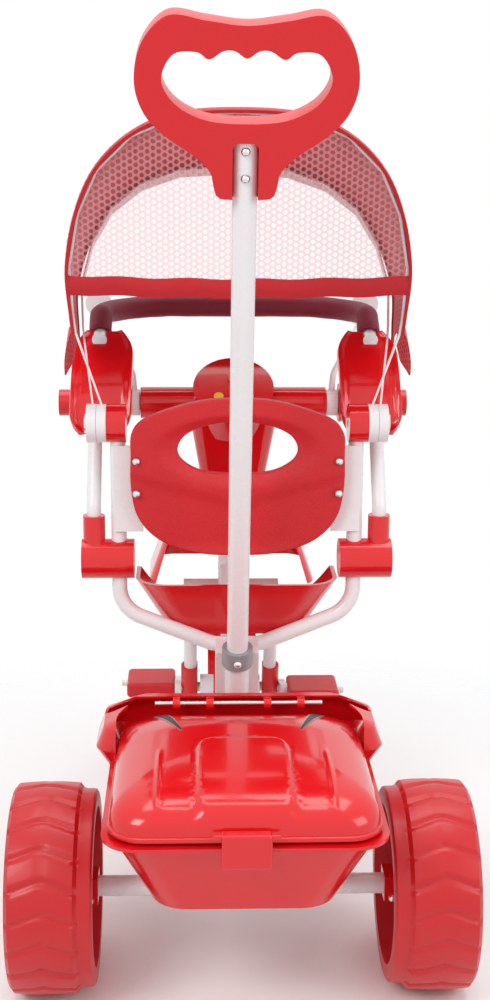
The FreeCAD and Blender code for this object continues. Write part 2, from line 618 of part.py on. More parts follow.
lid_shell = lid_solid.cut(lid_form(size.box_wall, size.box_wall))
for near in ear_x:
    start = near + size.ear_width + size.part_clearance
    knuckle = rod(hinge + ACROSS * start, hinge + ACROSS * (start + size.knuckle_width),
                  size.knuckle_radius)
    arm = block(VECTOR(start, hinge.y - size.knuckle_width, hinge.z - size.hinge_pin_radius),
                VECTOR(start + size.knuckle_width, hinge.y, hinge.z + size.hinge_pin_radius))
    knuckle = knuckle.fuse(arm)
    lid_shell = lid_shell.fuse([knuckle, mirrored(knuckle)])
pin_room = rod(hinge - ACROSS * size.box_half_width, hinge + ACROSS * size.box_half_width,
               size.hinge_pin_radius + size.running_clearance)
latch_y = size.box_back - size.lip_width - size.latch_thickness / 2
latch_axis = VECTOR(0, latch_y, rim_top + size.latch_height / 3)
latch_reach = size.latch_width / 2
trunnion = rod(latch_axis - ACROSS * (latch_reach + size.lip_width),
               latch_axis + ACROSS * (latch_reach + size.lip_width), size.hinge_pin_radius)
latch_ear = block(VECTOR(latch_reach + size.part_clearance, latch_y - size.lip_width / 2,
                         latch_axis.z - size.lip_width),
                  VECTOR(latch_reach + size.part_clearance + size.lip_width,
                         size.box_back + size.lip_width, latch_axis.z + size.lip_width / 2))
trunnion_room = rod(latch_axis - ACROSS * size.box_floor_half_width,
                    latch_axis + ACROSS * size.box_floor_half_width,
                    size.hinge_pin_radius + size.running_clearance)
lid_shell = lid_shell.fuse([latch_ear, mirrored(latch_ear)])
lid_shell = lid_shell.cut(pin_room).cut(trunnion_room).cut(lid_form(size.box_wall, size.box_wall))
lid_shell = tidy(lid_shell.cut(ear_rooms))
freeform("luggage_lid", lid_shell)

latch = block(VECTOR(-latch_reach, latch_y - size.latch_thickness / 2,
                     latch_axis.z + size.lip_width / 2 - size.latch_height),
              VECTOR(latch_reach, latch_y + size.latch_thickness / 2 - size.part_clearance,
                     latch_axis.z + size.lip_width / 2))
latch = latch.makeFillet(size.box_wall, [edge for edge in latch.Edges
                                         if edge.CenterOfMass.y < latch_y])
freeform("lid_latch", tidy(latch.fuse(trunnion)))

wedge_low = size.box_rim + size.lip_thickness * 4
wedge = loft([rounded_section(size.wedge_half_width, -size.box_corner, size.wedge_front,
                              size.lip_width, height)
              for height in (wedge_low, size.lid_high + size.lip_width)])
wedge.translate(ACROSS * size.wedge_x)
wedge = wedge.common(lid_form(-size.foil_thickness)).cut(lid_solid)
wedge = max(wedge.Solids, key=lambda solid: solid.Volume)
freeform("lid_trim", both_sides(wedge))

# --- canopy -----------------------------------------------------------------------------------

crown, wide, skirt = size.canopy_radius, size.canopy_half_width, size.canopy_skirt_radius


def drawn_in(line, depth):
    """A line of (across, rise) points moved inward by a depth, square to itself."""
    moved = []
    for k, (x, r) in enumerate(line):
        before, after = line[max(k - 1, 0)], line[min(k + 1, len(line) - 1)]
        runs = [VECTOR(x - before[0], r - before[1], 0), VECTOR(after[0] - x, after[1] - r, 0)]
        normals = [VECTOR(run.y, -run.x, 0).normalize() for run in runs if run.Length > 0]
        middle = (normals[0] + normals[-1]).normalize()
        if x == 0:
            middle = VECTOR(0, -1, 0)
        reach = depth / middle.dot(normals[-1])
        moved.append((x + middle.x * reach, r + middle.y * reach))
    return moved


def hood_line():
    """Half of the hood's outline as (across, distance from the hub line)."""
    line = [(share * wide, rise * crown) for share, rise in HOOD_OUTLINE]
    return line + [(line[-1][0] - size.hoop_thickness, skirt)]


def swept_band(line, thickness, start, stop):
    """A band of a thickness along a line, swept about the hub line between two angles."""
    outer = [VECTOR(x, HUB.y, HUB.z + r) for x, r in line]
    inner = [VECTOR(x, HUB.y, HUB.z + r) for x, r in drawn_in(line, thickness)]
    ring = Part.makePolygon(outer + list(reversed(inner)) + [outer[0]])
    face = Part.Face(ring)
    face.rotate(HUB, ACROSS, -start)
    half = face.revolve(HUB, ACROSS, -(stop - start))
    return tidy(half.fuse(mirrored(half)))


rear_line = hood_line()
front_line = drawn_in(rear_line, size.cloth_clearance)
rear_cloth = swept_band(rear_line, size.cloth_thickness, size.rear_hoop_angle, size.cloth_seam_angle)
front_cloth = swept_band(front_line, size.cloth_thickness, size.cloth_seam_angle,
                         size.front_hoop_angle)
freeform("canopy_rear_cloth", rear_cloth)
freeform("canopy_front_cloth", front_cloth)


def hoop(cloth_line, ring_x, start, stop, clearance):
    """A flat bow from one hub ring, under its cloth and down to the other."""
    line = drawn_in(cloth_line, size.cloth_thickness + size.part_clearance)
    line.append((ring_x, size.hoop_foot_radius))
    band = swept_band(line, size.hoop_thickness, start, stop)
    start_ring = HUB + ACROSS * (ring_x - size.hub_ring_width / 2)
    hub_ring = rod(start_ring, start_ring + ACROSS * size.hub_ring_width, size.hub_radius)
    hub_bore = rod(HUB, HUB + ACROSS * wide, size.hub_pin_radius + clearance)
    whole = band.fuse([hub_ring, mirrored(hub_ring)])
    return tidy(whole.cut(hub_bore).cut(mirrored(hub_bore)))


ring_one = size.hub_clamp_outer + size.part_clearance + size.hub_ring_width / 2
ring_two = ring_one + size.hub_ring_width + size.part_clearance
sweep = size.hoop_sweep
rear_hoop = hoop(rear_line, ring_one, size.rear_hoop_angle, size.rear_hoop_angle + sweep, 0)
front_hoop = hoop(front_line, ring_two, size.front_hoop_angle - sweep,
                  size.front_hoop_angle, size.running_clearance)
freeform("canopy_rear_hoop", rear_hoop)
freeform("canopy_front_hoop", front_hoop)

window_line = drawn_in(rear_line, size.cloth_thickness + size.part_clearance)
window_low = (size.window_height - HUB.z) / math.cos(math.radians(size.rear_hoop_angle))
upper = [VECTOR(x, HUB.y, HUB.z + r) for x, r in window_line if r > window_low]
side_x = upper[-1].x + (window_line[len(upper)][0] - upper[-1].x) * 0.5
upper.append(VECTOR(side_x, HUB.y, HUB.z + window_low))
pane = upper + [VECTOR(-point.x, point.y, point.z) for point in reversed(upper[1:])]
window = Part.Face(Part.makePolygon(pane + [pane[0]])).extrude(ALONG * -size.cloth_thickness)
window.rotate(HUB, ACROSS, -size.rear_hoop_angle)
freeform("canopy_rear_window", window)

clamp_ring = rod(HUB + ACROSS * size.hub_clamp_inner, HUB + ACROSS * size.hub_clamp_outer,
                 size.hub_radius)
hub_pin = rod(HUB + ACROSS * (size.hub_clamp_inner + size.hub_clamp_outer) / 2,
              HUB + ACROSS * (ring_two + size.hub_ring_width / 2 + size.hub_pin_radius / 2),
              size.hub_pin_radius)
pin_head = rod(HUB + ACROSS * (ring_two + size.hub_ring_width / 2 + size.part_clearance),
               HUB + ACROSS * (ring_two + size.hub_ring_width / 2 + size.hub_pin_radius / 2),
               size.hub_pin_radius * 2)
hub_pin = tidy(hub_pin.fuse(pin_head))
tube_top = rod(VECTOR(size.seat_tube_x, size.seat_tube_y, 0),
               VECTOR(size.seat_tube_x, size.seat_tube_y, size.seat_tube_top),
               size.frame_tube_radius)
pin_bore = rod(HUB, HUB + ACROSS * wide, size.hub_pin_radius + size.running_clearance)
freeform("canopy_hub_clamps", both_sides(tidy(clamp_ring.cut(pin_bore).cut(tube_top))))
freeform("canopy_hub_pins", both_sides(hub_pin))

# --- guard ------------------------------------------------------------------------------------

PIVOT = VECTOR(0, size.seat_tube_y, size.pivot_height)
clamp = rod(PIVOT + ACROSS * size.pivot_inner, PIVOT + ACROSS * size.pivot_outer,
            size.pivot_radius)
post_x = size.guard_tube_x
socket_top = VECTOR(post_x, PIVOT.y, size.socket_height)
cup = rod(VECTOR(post_x, PIVOT.y, PIVOT.z), socket_top, size.guard_tube_radius + size.cup_wall)
post_start = socket_top - UP * size.post_depth
post_room = rod(post_start - UP * size.part_clearance, socket_top + UP * size.pivot_radius,
                size.guard_tube_radius + size.running_clearance)
elbow = tidy(clamp.fuse(cup).cut(post_room).cut(tube_top))
freeform("guard_elbows", both_sides(elbow))

arc_low = VECTOR(0, size.armrest_low_y, size.armrest_low)
arc_high = VECTOR(0, size.armrest_high_y, size.armrest_high)
chord = arc_high - arc_low
outward = VECTOR(0, -chord.z, chord.y).normalize()
arc_middle = (arc_low + arc_high) * 0.5 + outward * size.armrest_bulge
arm_arc = Part.Arc(arc_low, arc_middle, arc_high).toShape()
arm_inner = Part.Arc(arc_high - outward * size.armrest_thickness,
                     arc_middle - outward * size.armrest_thickness,
                     arc_low - outward * size.armrest_thickness).toShape()
arm_edges = [arm_arc, Part.LineSegment(arc_high, arc_high - outward * size.armrest_thickness).toShape(),
             arm_inner, Part.LineSegment(arc_low - outward * size.armrest_thickness,
                                         arc_low).toShape()]
arm_face = Part.Face(Part.Wire(arm_edges))
armrest = arm_face.extrude(ACROSS * (size.armrest_outer - size.armrest_inner))
armrest.translate(ACROSS * size.armrest_inner)
post_end = (arc_low + arc_high) * 0.5
post_bend = VECTOR(post_x, post_end.y - size.hub_radius, size.hub_height - size.hub_radius)
post_path = [post_start, VECTOR(post_x, PIVOT.y, socket_top.z + size.hub_radius / 2),
             post_bend, VECTOR(post_x, post_end.y, post_end.z)]
post = bent_rod(post_path, size.guard_tube_radius, size.hub_radius)
post = max(post.cut(armrest).Solids, key=lambda solid: solid.Volume)
ring_path = [VECTOR(-size.ring_half_width, size.armrest_high_y - size.armrest_thickness,
                    size.armrest_high - size.armrest_thickness),
             VECTOR(-size.ring_half_width, size.ring_front_y, size.ring_height)]
ring_path += [VECTOR(-point.x, point.y, point.z) for point in reversed(ring_path)]
ring_core = bent_rod(ring_path, size.ring_radius, size.ring_bend)
foam_way = (ring_path[1] - ring_path[0]).normalize() * size.foam_start
foam_path = [ring_path[0] + foam_way, ring_path[1], ring_path[2],
             ring_path[3] + VECTOR(-foam_way.x, foam_way.y, foam_way.z)]
foam = bent_rod(foam_path, size.foam_radius, size.ring_bend).cut(ring_core)
armrest = tidy(armrest.cut(ring_core))
freeform("guard_posts", both_sides(post))
freeform("armrests", both_sides(armrest))
freeform("guard_ring", ring_core)
freeform("guard_foam", tidy(foam))

# --- steering ---------------------------------------------------------------------------------

crown_low = HEAD - head_half - STEER_UP * (size.crown_thickness + size.part_clearance)
crown_block = block(VECTOR(-size.fork_x - size.fork_tube_radius, -size.crown_depth / 2, 0),
                    VECTOR(size.fork_x + size.fork_tube_radius, size.crown_depth / 2,
                           size.crown_thickness))
crown_block.rotate(VECTOR(0, 0, 0), ACROSS, size.steering_lean)
crown_block.translate(crown_low)
steerer_end = BAR - STEER_UP * size.bar_radius
steerer = rod(crown_low, steerer_end, size.steerer_radius)
leg_top = VECTOR(size.fork_x, crown_low.y, crown_low.z)
leg_foot = FRONT_AXLE + ACROSS * size.fork_x
leg = rod(leg_foot, leg_top, size.fork_tube_radius)
leg = max(leg.cut(crown_block).Solids, key=lambda solid: solid.Volume)
crank_axle = rod(FRONT_AXLE - ACROSS * size.crank_inner, FRONT_AXLE + ACROSS * size.crank_inner,
                 size.axle_rod_radius)
axle_room = rod(FRONT_AXLE - ACROSS * size.crank_inner, FRONT_AXLE + ACROSS * size.crank_inner,
                size.axle_rod_radius + size.running_clearance)
leg_up = (leg_top - leg_foot).normalize()
sleeve = rod(leg_foot - leg_up * size.dropout_radius, leg_foot + leg_up * size.dropout_length,
             size.dropout_radius)
cheek = block(leg_foot - VECTOR(size.dropout_radius - size.plastic_wall, 2 * size.dropout_radius,
                                2 * size.dropout_radius),
              leg_foot + VECTOR(size.crank_inner - size.fork_x - size.part_clearance,
                                3 * size.dropout_radius, 5 * size.dropout_radius))
sleeve = sleeve.common(cheek)
leg = tidy(leg.cut(axle_room))
fork = crown_block.fuse([leg, mirrored(leg)]).cut(steerer)
freeform("fork", tidy(fork))
freeform("fork_sleeves", both_sides(tidy(sleeve.cut(leg).cut(axle_room))))
freeform("steerer", steerer)

guard_out = size.mudguard_radius
side_reach = size.mudguard_half_width
fender = rod(FRONT_AXLE - ACROSS * side_reach, FRONT_AXLE + ACROSS * side_reach, guard_out)
fender = fender.cut(rod(FRONT_AXLE - ACROSS * side_reach, FRONT_AXLE + ACROSS * side_reach,
                        guard_out - size.plastic_wall))
fender = fender.common(block(FRONT_AXLE + VECTOR(-side_reach, -guard_out, size.mudguard_low),
                             FRONT_AXLE + VECTOR(side_reach, guard_out, guard_out)))
boss = rod(crown_low - STEER_UP * size.mudguard_boss, crown_low, size.steerer_radius)
boss = boss.cut(rod(FRONT_AXLE - ACROSS * side_reach, FRONT_AXLE + ACROSS * side_reach,
                    guard_out - size.plastic_wall))
fender = tidy(fender.fuse(boss).cut(crown_block).cut(steerer))
freeform("front_mudguard", fender)

bar = rod(BAR - ACROSS * size.bar_half_length, BAR + ACROSS * size.bar_half_length,
          size.bar_radius)
freeform("handlebar", tidy(bar.cut(steerer)))
grip = rod(BAR + ACROSS * size.grip_start, BAR + ACROSS * (size.bar_half_length + 3),
           size.grip_radius)
flange = rod(BAR + ACROSS * size.grip_start,
             BAR + ACROSS * (size.grip_start + size.grip_flange_width), size.grip_flange)
freeform("handlebar_grips", both_sides(tidy(grip.fuse(flange).cut(bar))))

console_tilt = math.radians(size.console_tilt)
FACE_UP = VECTOR(0, -math.sin(console_tilt), math.cos(console_tilt))
face_centre = BAR + FACE_UP * size.console_rise
dial = rod(face_centre - FACE_UP * size.console_thickness, face_centre, size.console_radius)
arms = rod(BAR - ACROSS * size.console_arm_half, BAR + ACROSS * size.console_arm_half,
           size.console_arm_radius)
low_spot, high_spot = on_steering_axis(size.column_low), on_steering_axis(size.column_high)
column = loft([
    rounded_section(size.column_low_half, low_spot.y - size.column_low_back,
                    low_spot.y + size.column_low_front, size.column_low_corner, low_spot.z),
    rounded_section(size.column_high_half, high_spot.y - size.column_high_back,
                    high_spot.y + size.column_high_front, size.column_high_corner, high_spot.z)])
console = dial.fuse([arms, column]).cut(bar).cut(steerer)
steer_room = rod(low_spot, BAR, size.steerer_radius)
button_spots = {}
rider_way = VECTOR(0, FACE_UP.z, -FACE_UP.y)
for side_name, side in SIDES.items():
    spot = face_centre + ACROSS * side * size.button_x - rider_way * size.button_drop
    button_spots[side_name] = spot
    well = rod(spot - FACE_UP * 3 * size.button_height, spot,
               size.button_radius + size.part_clearance)
    console = console.cut(well)
lens_spot = face_centre + rider_way * size.lens_rise
lens = rod(lens_spot - FACE_UP * size.button_height, lens_spot + FACE_UP * size.screw_head_height,
           size.lens_radius)
battery = block(VECTOR(-size.cover_half_width, low_spot.y - size.cover_back,
                       size.column_low + size.cover_margin),
                VECTOR(size.cover_half_width, low_spot.y, size.column_high - size.cover_margin))
battery_plate = battery.common(column).cut(column.translated(ALONG * size.plastic_wall))
console = tidy(console.cut(lens).cut(battery_plate).cut(steer_room))
freeform("console", console)
freeform("battery_cover", tidy(battery_plate))
freeform("console_lens", lens)
for side_name, spot in button_spots.items():
    button = rod(spot - FACE_UP * (3 * size.button_height - size.button_travel - 1),
                 spot + FACE_UP * size.button_height / 2, size.button_radius)
    freeform(f"button_{side_name}", button)

cowl_front_y = FRONT_AXLE.y + size.cowl_shell_nose
cowl_back_y = HEAD.y - size.crown_depth


def front_shell(inset):
    """The leg shield in front of the rider, drawn in by an inset."""
    low, high = size.cowl_shell_low, size.cowl_shell_high
    return loft([
        rounded_section(size.cowl_shell_half_width - inset, cowl_back_y - inset,
                        cowl_front_y - inset, size.cowl_shell_corner - inset, low - inset),
        rounded_section(size.cowl_shell_waist - inset, cowl_back_y - inset,
                        cowl_front_y - size.column_low_corner - inset,
                        size.cowl_shell_corner - inset, (low + high) / 2),
        rounded_section(size.cowl_shell_top - inset, low_spot.y - size.column_low_back - inset,
                        low_spot.y + size.column_high_front - inset,
                        size.column_low_corner - inset / 2, high - inset)])


shell = front_shell(0).cut(front_shell(size.plastic_wall))
shell = shell.cut(rod(HEAD, BAR, size.steerer_radius))
shell = max(shell.Solids, key=lambda solid: solid.Volume)
freeform("front_cowl", shell)

stalk = bent_rod([VECTOR(size.stalk_foot_x, BAR.y, BAR.z),
                  VECTOR(size.stalk_knee_x, BAR.y, BAR.z + size.stalk_knee_rise),
                  VECTOR(size.mirror_x, size.mirror_y, size.mirror_height - size.mirror_neck),
                  VECTOR(size.mirror_x, size.mirror_y, size.mirror_height)],
                 size.mirror_stalk_radius, size.stalk_bend)
band = rod(BAR + ACROSS * (size.grip_start - 1 - size.band_width),
           BAR + ACROSS * (size.grip_start - 1), size.grip_radius).cut(bar)
mirror_spot = VECTOR(size.mirror_x, size.mirror_y, size.mirror_height)
head_piece = rod(mirror_spot - ALONG * size.mirror_half_depth,
                 mirror_spot + ALONG * size.mirror_half_depth, size.mirror_radius)
mirror = tidy(stalk.fuse([band, head_piece]).cut(bar))
freeform("toy_mirrors", both_sides(mirror))

# --- front wheel, cranks and pedals -----------------------------------------------------------

half_tyre = "front_tyre_width / 2"
tyre = revolved("front_tyre", [
    (f"-({half_tyre})", FRONT_BORE), (f"-({half_tyre})", "front_wheel_radius - 2 * tyre_crown"),
    (f"2 * tyre_crown - {half_tyre}", "front_wheel_radius"),
    (f"{half_tyre} - 2 * tyre_crown", "front_wheel_radius"),
    (half_tyre, "front_wheel_radius - 2 * tyre_crown"), (half_tyre, FRONT_BORE)])
place(tyre, along="wheelbase", up="front_wheel_radius")
keep(tyre, "front_tyre")
hub_half = "fork_x - dropout_radius - part_clearance"
rim = revolved("front_rim", [
    (f"-({hub_half})", "axle_rod_radius"), (f"-({hub_half})", "rim_hub_radius"),
    (f"-({half_tyre} - rim_disc)", "rim_hub_radius"), (f"-({half_tyre} - rim_disc)", FRONT_BORE),
    (f"{half_tyre} - rim_disc", FRONT_BORE), (f"{half_tyre} - rim_disc", "rim_hub_radius"),
    (hub_half, "rim_hub_radius"), (hub_half, "axle_rod_radius")])
place(rim, along="wheelbase", up="front_wheel_radius")
keep(rim, "front_rim")

crank_way = VECTOR(0, math.cos(math.radians(size.crank_tilt)),
                   -math.sin(math.radians(size.crank_tilt)))


def crank(side):
    """A flat arm from the axle to its pedal, on one side."""
    throw = crank_way * size.crank_throw * -side
    start = FRONT_AXLE + ACROSS * side * size.crank_inner
    wide_way = ACROSS * side * size.crank_thickness
    hub_end = rod(start, start + wide_way, size.crank_width / 2)
    pedal_end = rod(start + throw, start + throw + wide_way, size.crank_width / 2)
    arm = Part.makeBox(size.crank_thickness, size.crank_throw, size.crank_arm_width,
                       VECTOR(0, 0, -size.crank_arm_width / 2))
    if side == LEFT:
        arm.translate(ACROSS * -size.crank_thickness)
    turn = -size.crank_tilt if side == LEFT else HALF_TURN - size.crank_tilt
    arm.rotate(VECTOR(0, 0, 0), ACROSS, turn)
    arm.translate(start)
    spindle = rod(start + throw + wide_way, start + throw + wide_way
                  + ACROSS * side * (size.pedal_length + 2 * size.pedal_axle_radius),
                  size.pedal_axle_radius)
    return tidy(hub_end.fuse([pedal_end, arm, spindle]))


crank_set = crank_axle.fuse([crank(LEFT), crank(RIGHT)])
freeform("crank_axle", tidy(crank_set))
for side_name, side in SIDES.items():
    throw = crank_way * size.crank_throw * -side
    middle = FRONT_AXLE + throw + ACROSS * side * (size.crank_inner + size.crank_thickness
                                                   + size.part_clearance + size.pedal_length / 2)
    low = middle - VECTOR(size.pedal_length, size.pedal_width, size.pedal_thickness) * 0.5
    pedal = block(low, low + VECTOR(size.pedal_length, size.pedal_width, size.pedal_thickness))
    pedal = pedal.makeFillet(size.pedal_thickness / 4, pedal.Edges)
    spindle_room = rod(middle - ACROSS * size.pedal_length, middle + ACROSS * size.pedal_length,
                       size.pedal_axle_radius + size.running_clearance)
    freeform(f"pedal_{side_name}", tidy(pedal.cut(spindle_room)))

# --- push bar ---------------------------------------------------------------------------------

tube_low = COLLAR - PUSH_UP * size.socket_depth
tube_end = COLLAR + PUSH_UP * (size.push_length + size.handle_seat)
tube_solid = rod(tube_low, tube_end, size.push_tube_radius)
tube_bore = rod(tube_low, tube_end, size.push_tube_radius - size.socket_wall)
freeform("push_tube", tube_solid.cut(tube_bore))


def closed_curve(points):
    """A smooth closed curve through points and their mirror images, in the XZ plane."""
    flip = [(-x, z) for x, z in reversed(points) if x > 0]
    spots = [VECTOR(x, 0, z) for x, z in list(points) + flip]
    curve = Part.BSplineCurve()
    curve.interpolate(spots, PeriodicFlag=True)
    return Part.Face(Part.Wire(curve.toShape()))


hole_half = max(x for x, _ in HANDLE_HOLE)
handle = closed_curve(HANDLE_OUTLINE).cut(closed_curve(HANDLE_HOLE))
handle = handle.extrude(ALONG * size.handle_thickness)
handle.translate(ALONG * -size.handle_thickness / 2)
handle = tidy(handle)
rims = sorted(handle.Edges, key=lambda edge: edge.Length)
handle = handle.makeFillet(size.handle_round / 2, rims[-2:])
rims = sorted(handle.Edges, key=lambda edge: abs(edge.BoundBox.XLength - 2 * hole_half))
handle = handle.makeFillet(size.handle_round, rims[:2])
handle.rotate(VECTOR(0, 0, 0), ACROSS, size.push_lean)
handle.translate(COLLAR + PUSH_UP * size.push_length)
freeform("push_handle", tidy(handle.cut(tube_solid)))
screws = []
for rise in (size.handle_screw_low, size.handle_screw_high):
    seat = COLLAR + PUSH_UP * (size.push_length + rise)
    screws.append(screw(seat - toward_back * size.push_tube_radius, toward_back))
freeform("handle_screws", Part.makeCompound(screws))

# --- check and write --------------------------------------------------------------------------

doc.recompute()
for thing in doc.Objects:
    if "Invalid" in thing.State or "Error" in thing.State:
        raise RuntimeError(f"{thing.Label} did not rebuild: {thing.State}")
os.makedirs("parts", exist_ok=True)
for node in nodes:
    if node.Shape.isNull() or not node.Shape.isValid():
        raise RuntimeError(f"{node.Label} has no valid shape")
    node.Shape.exportStep(f"parts/{node.Label}.step")
print(len(nodes), "pieces written")
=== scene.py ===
"""Looks of a children's push tricycle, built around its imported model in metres.

+Y is the way it rolls, +X is the rider's right and +Z is up.
"""
import json
import logging
import math
from dataclasses import dataclass
from enum import Enum
from typing import Callable, Sequence

import bmesh
import bpy
from mathutils import Matrix, Vector, noise
from mathutils.bvhtree import BVHTree


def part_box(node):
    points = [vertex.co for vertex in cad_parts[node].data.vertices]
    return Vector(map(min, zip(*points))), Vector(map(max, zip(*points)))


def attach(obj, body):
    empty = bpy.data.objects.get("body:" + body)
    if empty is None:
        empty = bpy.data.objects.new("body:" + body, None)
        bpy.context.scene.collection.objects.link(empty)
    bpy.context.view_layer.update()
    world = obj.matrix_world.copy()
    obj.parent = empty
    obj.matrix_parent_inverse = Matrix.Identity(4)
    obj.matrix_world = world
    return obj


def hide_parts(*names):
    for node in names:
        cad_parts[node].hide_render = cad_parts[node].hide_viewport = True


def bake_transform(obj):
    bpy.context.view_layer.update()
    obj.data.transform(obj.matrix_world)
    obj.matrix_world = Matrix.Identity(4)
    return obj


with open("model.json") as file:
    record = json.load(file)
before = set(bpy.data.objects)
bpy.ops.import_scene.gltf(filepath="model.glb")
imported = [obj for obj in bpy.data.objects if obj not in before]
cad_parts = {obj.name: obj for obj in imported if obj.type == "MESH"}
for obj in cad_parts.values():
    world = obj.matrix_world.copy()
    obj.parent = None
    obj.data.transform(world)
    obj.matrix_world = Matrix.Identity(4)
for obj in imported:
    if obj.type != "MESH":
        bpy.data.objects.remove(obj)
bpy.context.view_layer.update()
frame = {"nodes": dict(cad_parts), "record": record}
log = logging.getLogger("tricycle")
MM = 0.001
Ring = Sequence[Vector]


# --- modelling tools --------------------------------------------------------------------------

def deselect() -> None:
    """Leave nothing selected, so that an operator acts only on the new piece."""
    if bpy.context.mode != "OBJECT":
        bpy.ops.object.mode_set(mode="OBJECT")
    bpy.ops.object.select_all(action="DESELECT")


def name_piece(name: str) -> bpy.types.Object:
    """Name the piece that was just added and its mesh.

    Args:
        name: the piece's name.
    Returns:
        The active object.
    """
    piece = bpy.context.object
    piece.name = name
    piece.data.name = name
    return piece


def only(piece: bpy.types.Object) -> None:
    """Select one piece and make it active."""
    deselect()
    piece.select_set(True)
    bpy.context.view_layer.objects.active = piece


def settle(piece: bpy.types.Object) -> None:
    """Put a piece's place, turn and scale into its mesh."""
    only(piece)
    bpy.ops.object.transform_apply(location=True, rotation=True, scale=True)


def apply_modifier(piece: bpy.types.Object, kind: str, **values: object) -> None:
    """Add one modifier with its values and apply it.

    Args:
        piece: the object to finish.
        kind: Blender's name for the modifier's type.
        values: the modifier's settings.
    """
    only(piece)
    modifier = piece.modifiers.new(kind.lower(), kind)
    for key, value in values.items():
        setattr(modifier, key, value)
    bpy.ops.object.modifier_apply(modifier=modifier.name)


def smooth(piece: bpy.types.Object, angle: float = 40.0) -> None:
    """Shade a piece smooth, with creases where faces turn by more than an angle in degrees."""
    only(piece)
    bpy.ops.object.shade_smooth_by_angle(angle=math.radians(angle))


def extruded_loop(mesh: bmesh.types.BMesh, loop: list, spots: Ring) -> list:
    """Extrude the selected edge loop and move the new loop to its spots.

    Args:
        mesh: the mesh in edit mode.
        loop: the vertices of the last loop, in order.
        spots: where the new vertices go, in the same order.
    Returns:
        The new loop's vertices.
    """
    old = set(loop)
    bpy.ops.mesh.extrude_region_move()
    following = []
    for vertex, spot in zip(loop, spots):
        partner = next(edge.other_vert(vertex) for edge in vertex.link_edges
                       if edge.other_vert(vertex).select and edge.other_vert(vertex) not in old)
        following.append(partner)
    for partner, spot in zip(following, spots):
        partner.co = spot
    return following


def loft(name: str, rings: Sequence[Ring], caps: bool = True, closed: bool = False
         ) -> bpy.types.Object:
    """Skin a row of closed rings, as by extruding a circle again and again.

    Args:
        name: the piece's name.
        rings: the rings, each with as many points as the first.
        caps: close both ends with a face.
        closed: join the last ring to the first instead.
    Returns:
        The new object, with its place in its mesh.
    """
    deselect()
    bpy.ops.mesh.primitive_circle_add(vertices=len(rings[0]), radius=1)
    piece = name_piece(name)
    for vertex, spot in zip(piece.data.vertices, rings[0]):
        vertex.co = spot
    bpy.ops.object.mode_set(mode="EDIT")
    bpy.ops.mesh.select_mode(type="VERT")
    bpy.ops.mesh.select_all(action="SELECT")
    mesh = bmesh.from_edit_mesh(piece.data)
    mesh.verts.ensure_lookup_table()
    first = list(mesh.verts)
    loop = first
    for spots in rings[1:]:
        loop = extruded_loop(mesh, loop, spots)
    ends = [loop] if closed else [loop, first]
    if closed:
        for vertex in first:
            vertex.select_set(True)
        mesh.select_flush(True)
        bpy.ops.mesh.bridge_edge_loops()
    elif caps:
        for end in ends:
            bpy.ops.mesh.select_all(action="DESELECT")
            for vertex in end:
                vertex.select_set(True)
            mesh.select_flush(True)
            bpy.ops.mesh.edge_face_add()
    bmesh.update_edit_mesh(piece.data)
    bpy.ops.mesh.select_all(action="SELECT")
    bpy.ops.mesh.normals_make_consistent(inside=False)
    bpy.ops.object.mode_set(mode="OBJECT")
    return piece


def shaped_grid(name: str, across: int, along: int, spot: Callable[[float, float], Vector],
                measure: Callable[[float, float], tuple[float, float]] | None = None
                ) -> bpy.types.Object:
    """A grid primitive whose points are moved onto a surface.

    Args:
        name: the piece's name.
        across: how many faces across.
        along: how many faces along.
        spot: the surface, from two shares between 0 and 1.
        measure: the cloth's own coordinates in metres at those shares, kept as its UV map.
    Returns:
        The new object.
    """
    deselect()
    bpy.ops.mesh.primitive_grid_add(x_subdivisions=across, y_subdivisions=along, size=2)
    piece = name_piece(name)
    shares = [((v.co.x + 1) / 2, (v.co.y + 1) / 2) for v in piece.data.vertices]
    for vertex, (u, v) in zip(piece.data.vertices, shares):
        vertex.co = spot(u, v)
    if measure:
        layer = piece.data.uv_layers.active or piece.data.uv_layers.new(name="cloth")
        for loop in piece.data.loops:
            layer.data[loop.index].uv = measure(*shares[loop.vertex_index])
    return piece


def ring_about(centre: Vector, way: Vector, radius: float, count: int,
               side: Vector | None = None, squash: float = 1.0) -> list[Vector]:
    """A ring of points about an axis.

    Args:
        centre: the ring's middle.
        way: the axis.
        radius: the ring's radius.
        count: how many points.
        side: a direction near the first point, square to the axis.
        squash: the other radius as a share of the first.
    Returns:
        The points.
    """
    way = way.normalized()
    side = side or (Vector((1, 0, 0)) if abs(way.x) < 0.9 else Vector((0, 1, 0)))
    side = (side - way * side.dot(way)).normalized()
    other = way.cross(side)
    turn = math.tau / count
    return [centre + side * radius * math.cos(k * turn) + other * radius * squash
            * math.sin(k * turn) for k in range(count)]


def smooth_path(points: Sequence[Vector], steps: int) -> list[Vector]:
    """A Catmull-Rom curve through points.

    Args:
        points: the points that it passes through.
        steps: how many steps for each stretch.
    Returns:
        Points along the curve, ends included.
    """
    path = []
    last = len(points) - 1
    for k in range(last):
        a, b = points[max(k - 1, 0)], points[k]
        c, d = points[k + 1], points[min(k + 2, last)]
        for step in range(steps):
            t = step / steps
            path.append(0.5 * (2 * b + (c - a) * t + (2 * a - 5 * b + 4 * c - d) * t * t
                               + (3 * b - a - 3 * c + d) * t ** 3))
    path.append(points[-1])
    return path


# --- shader groups ----------------------------------------------------------------------------

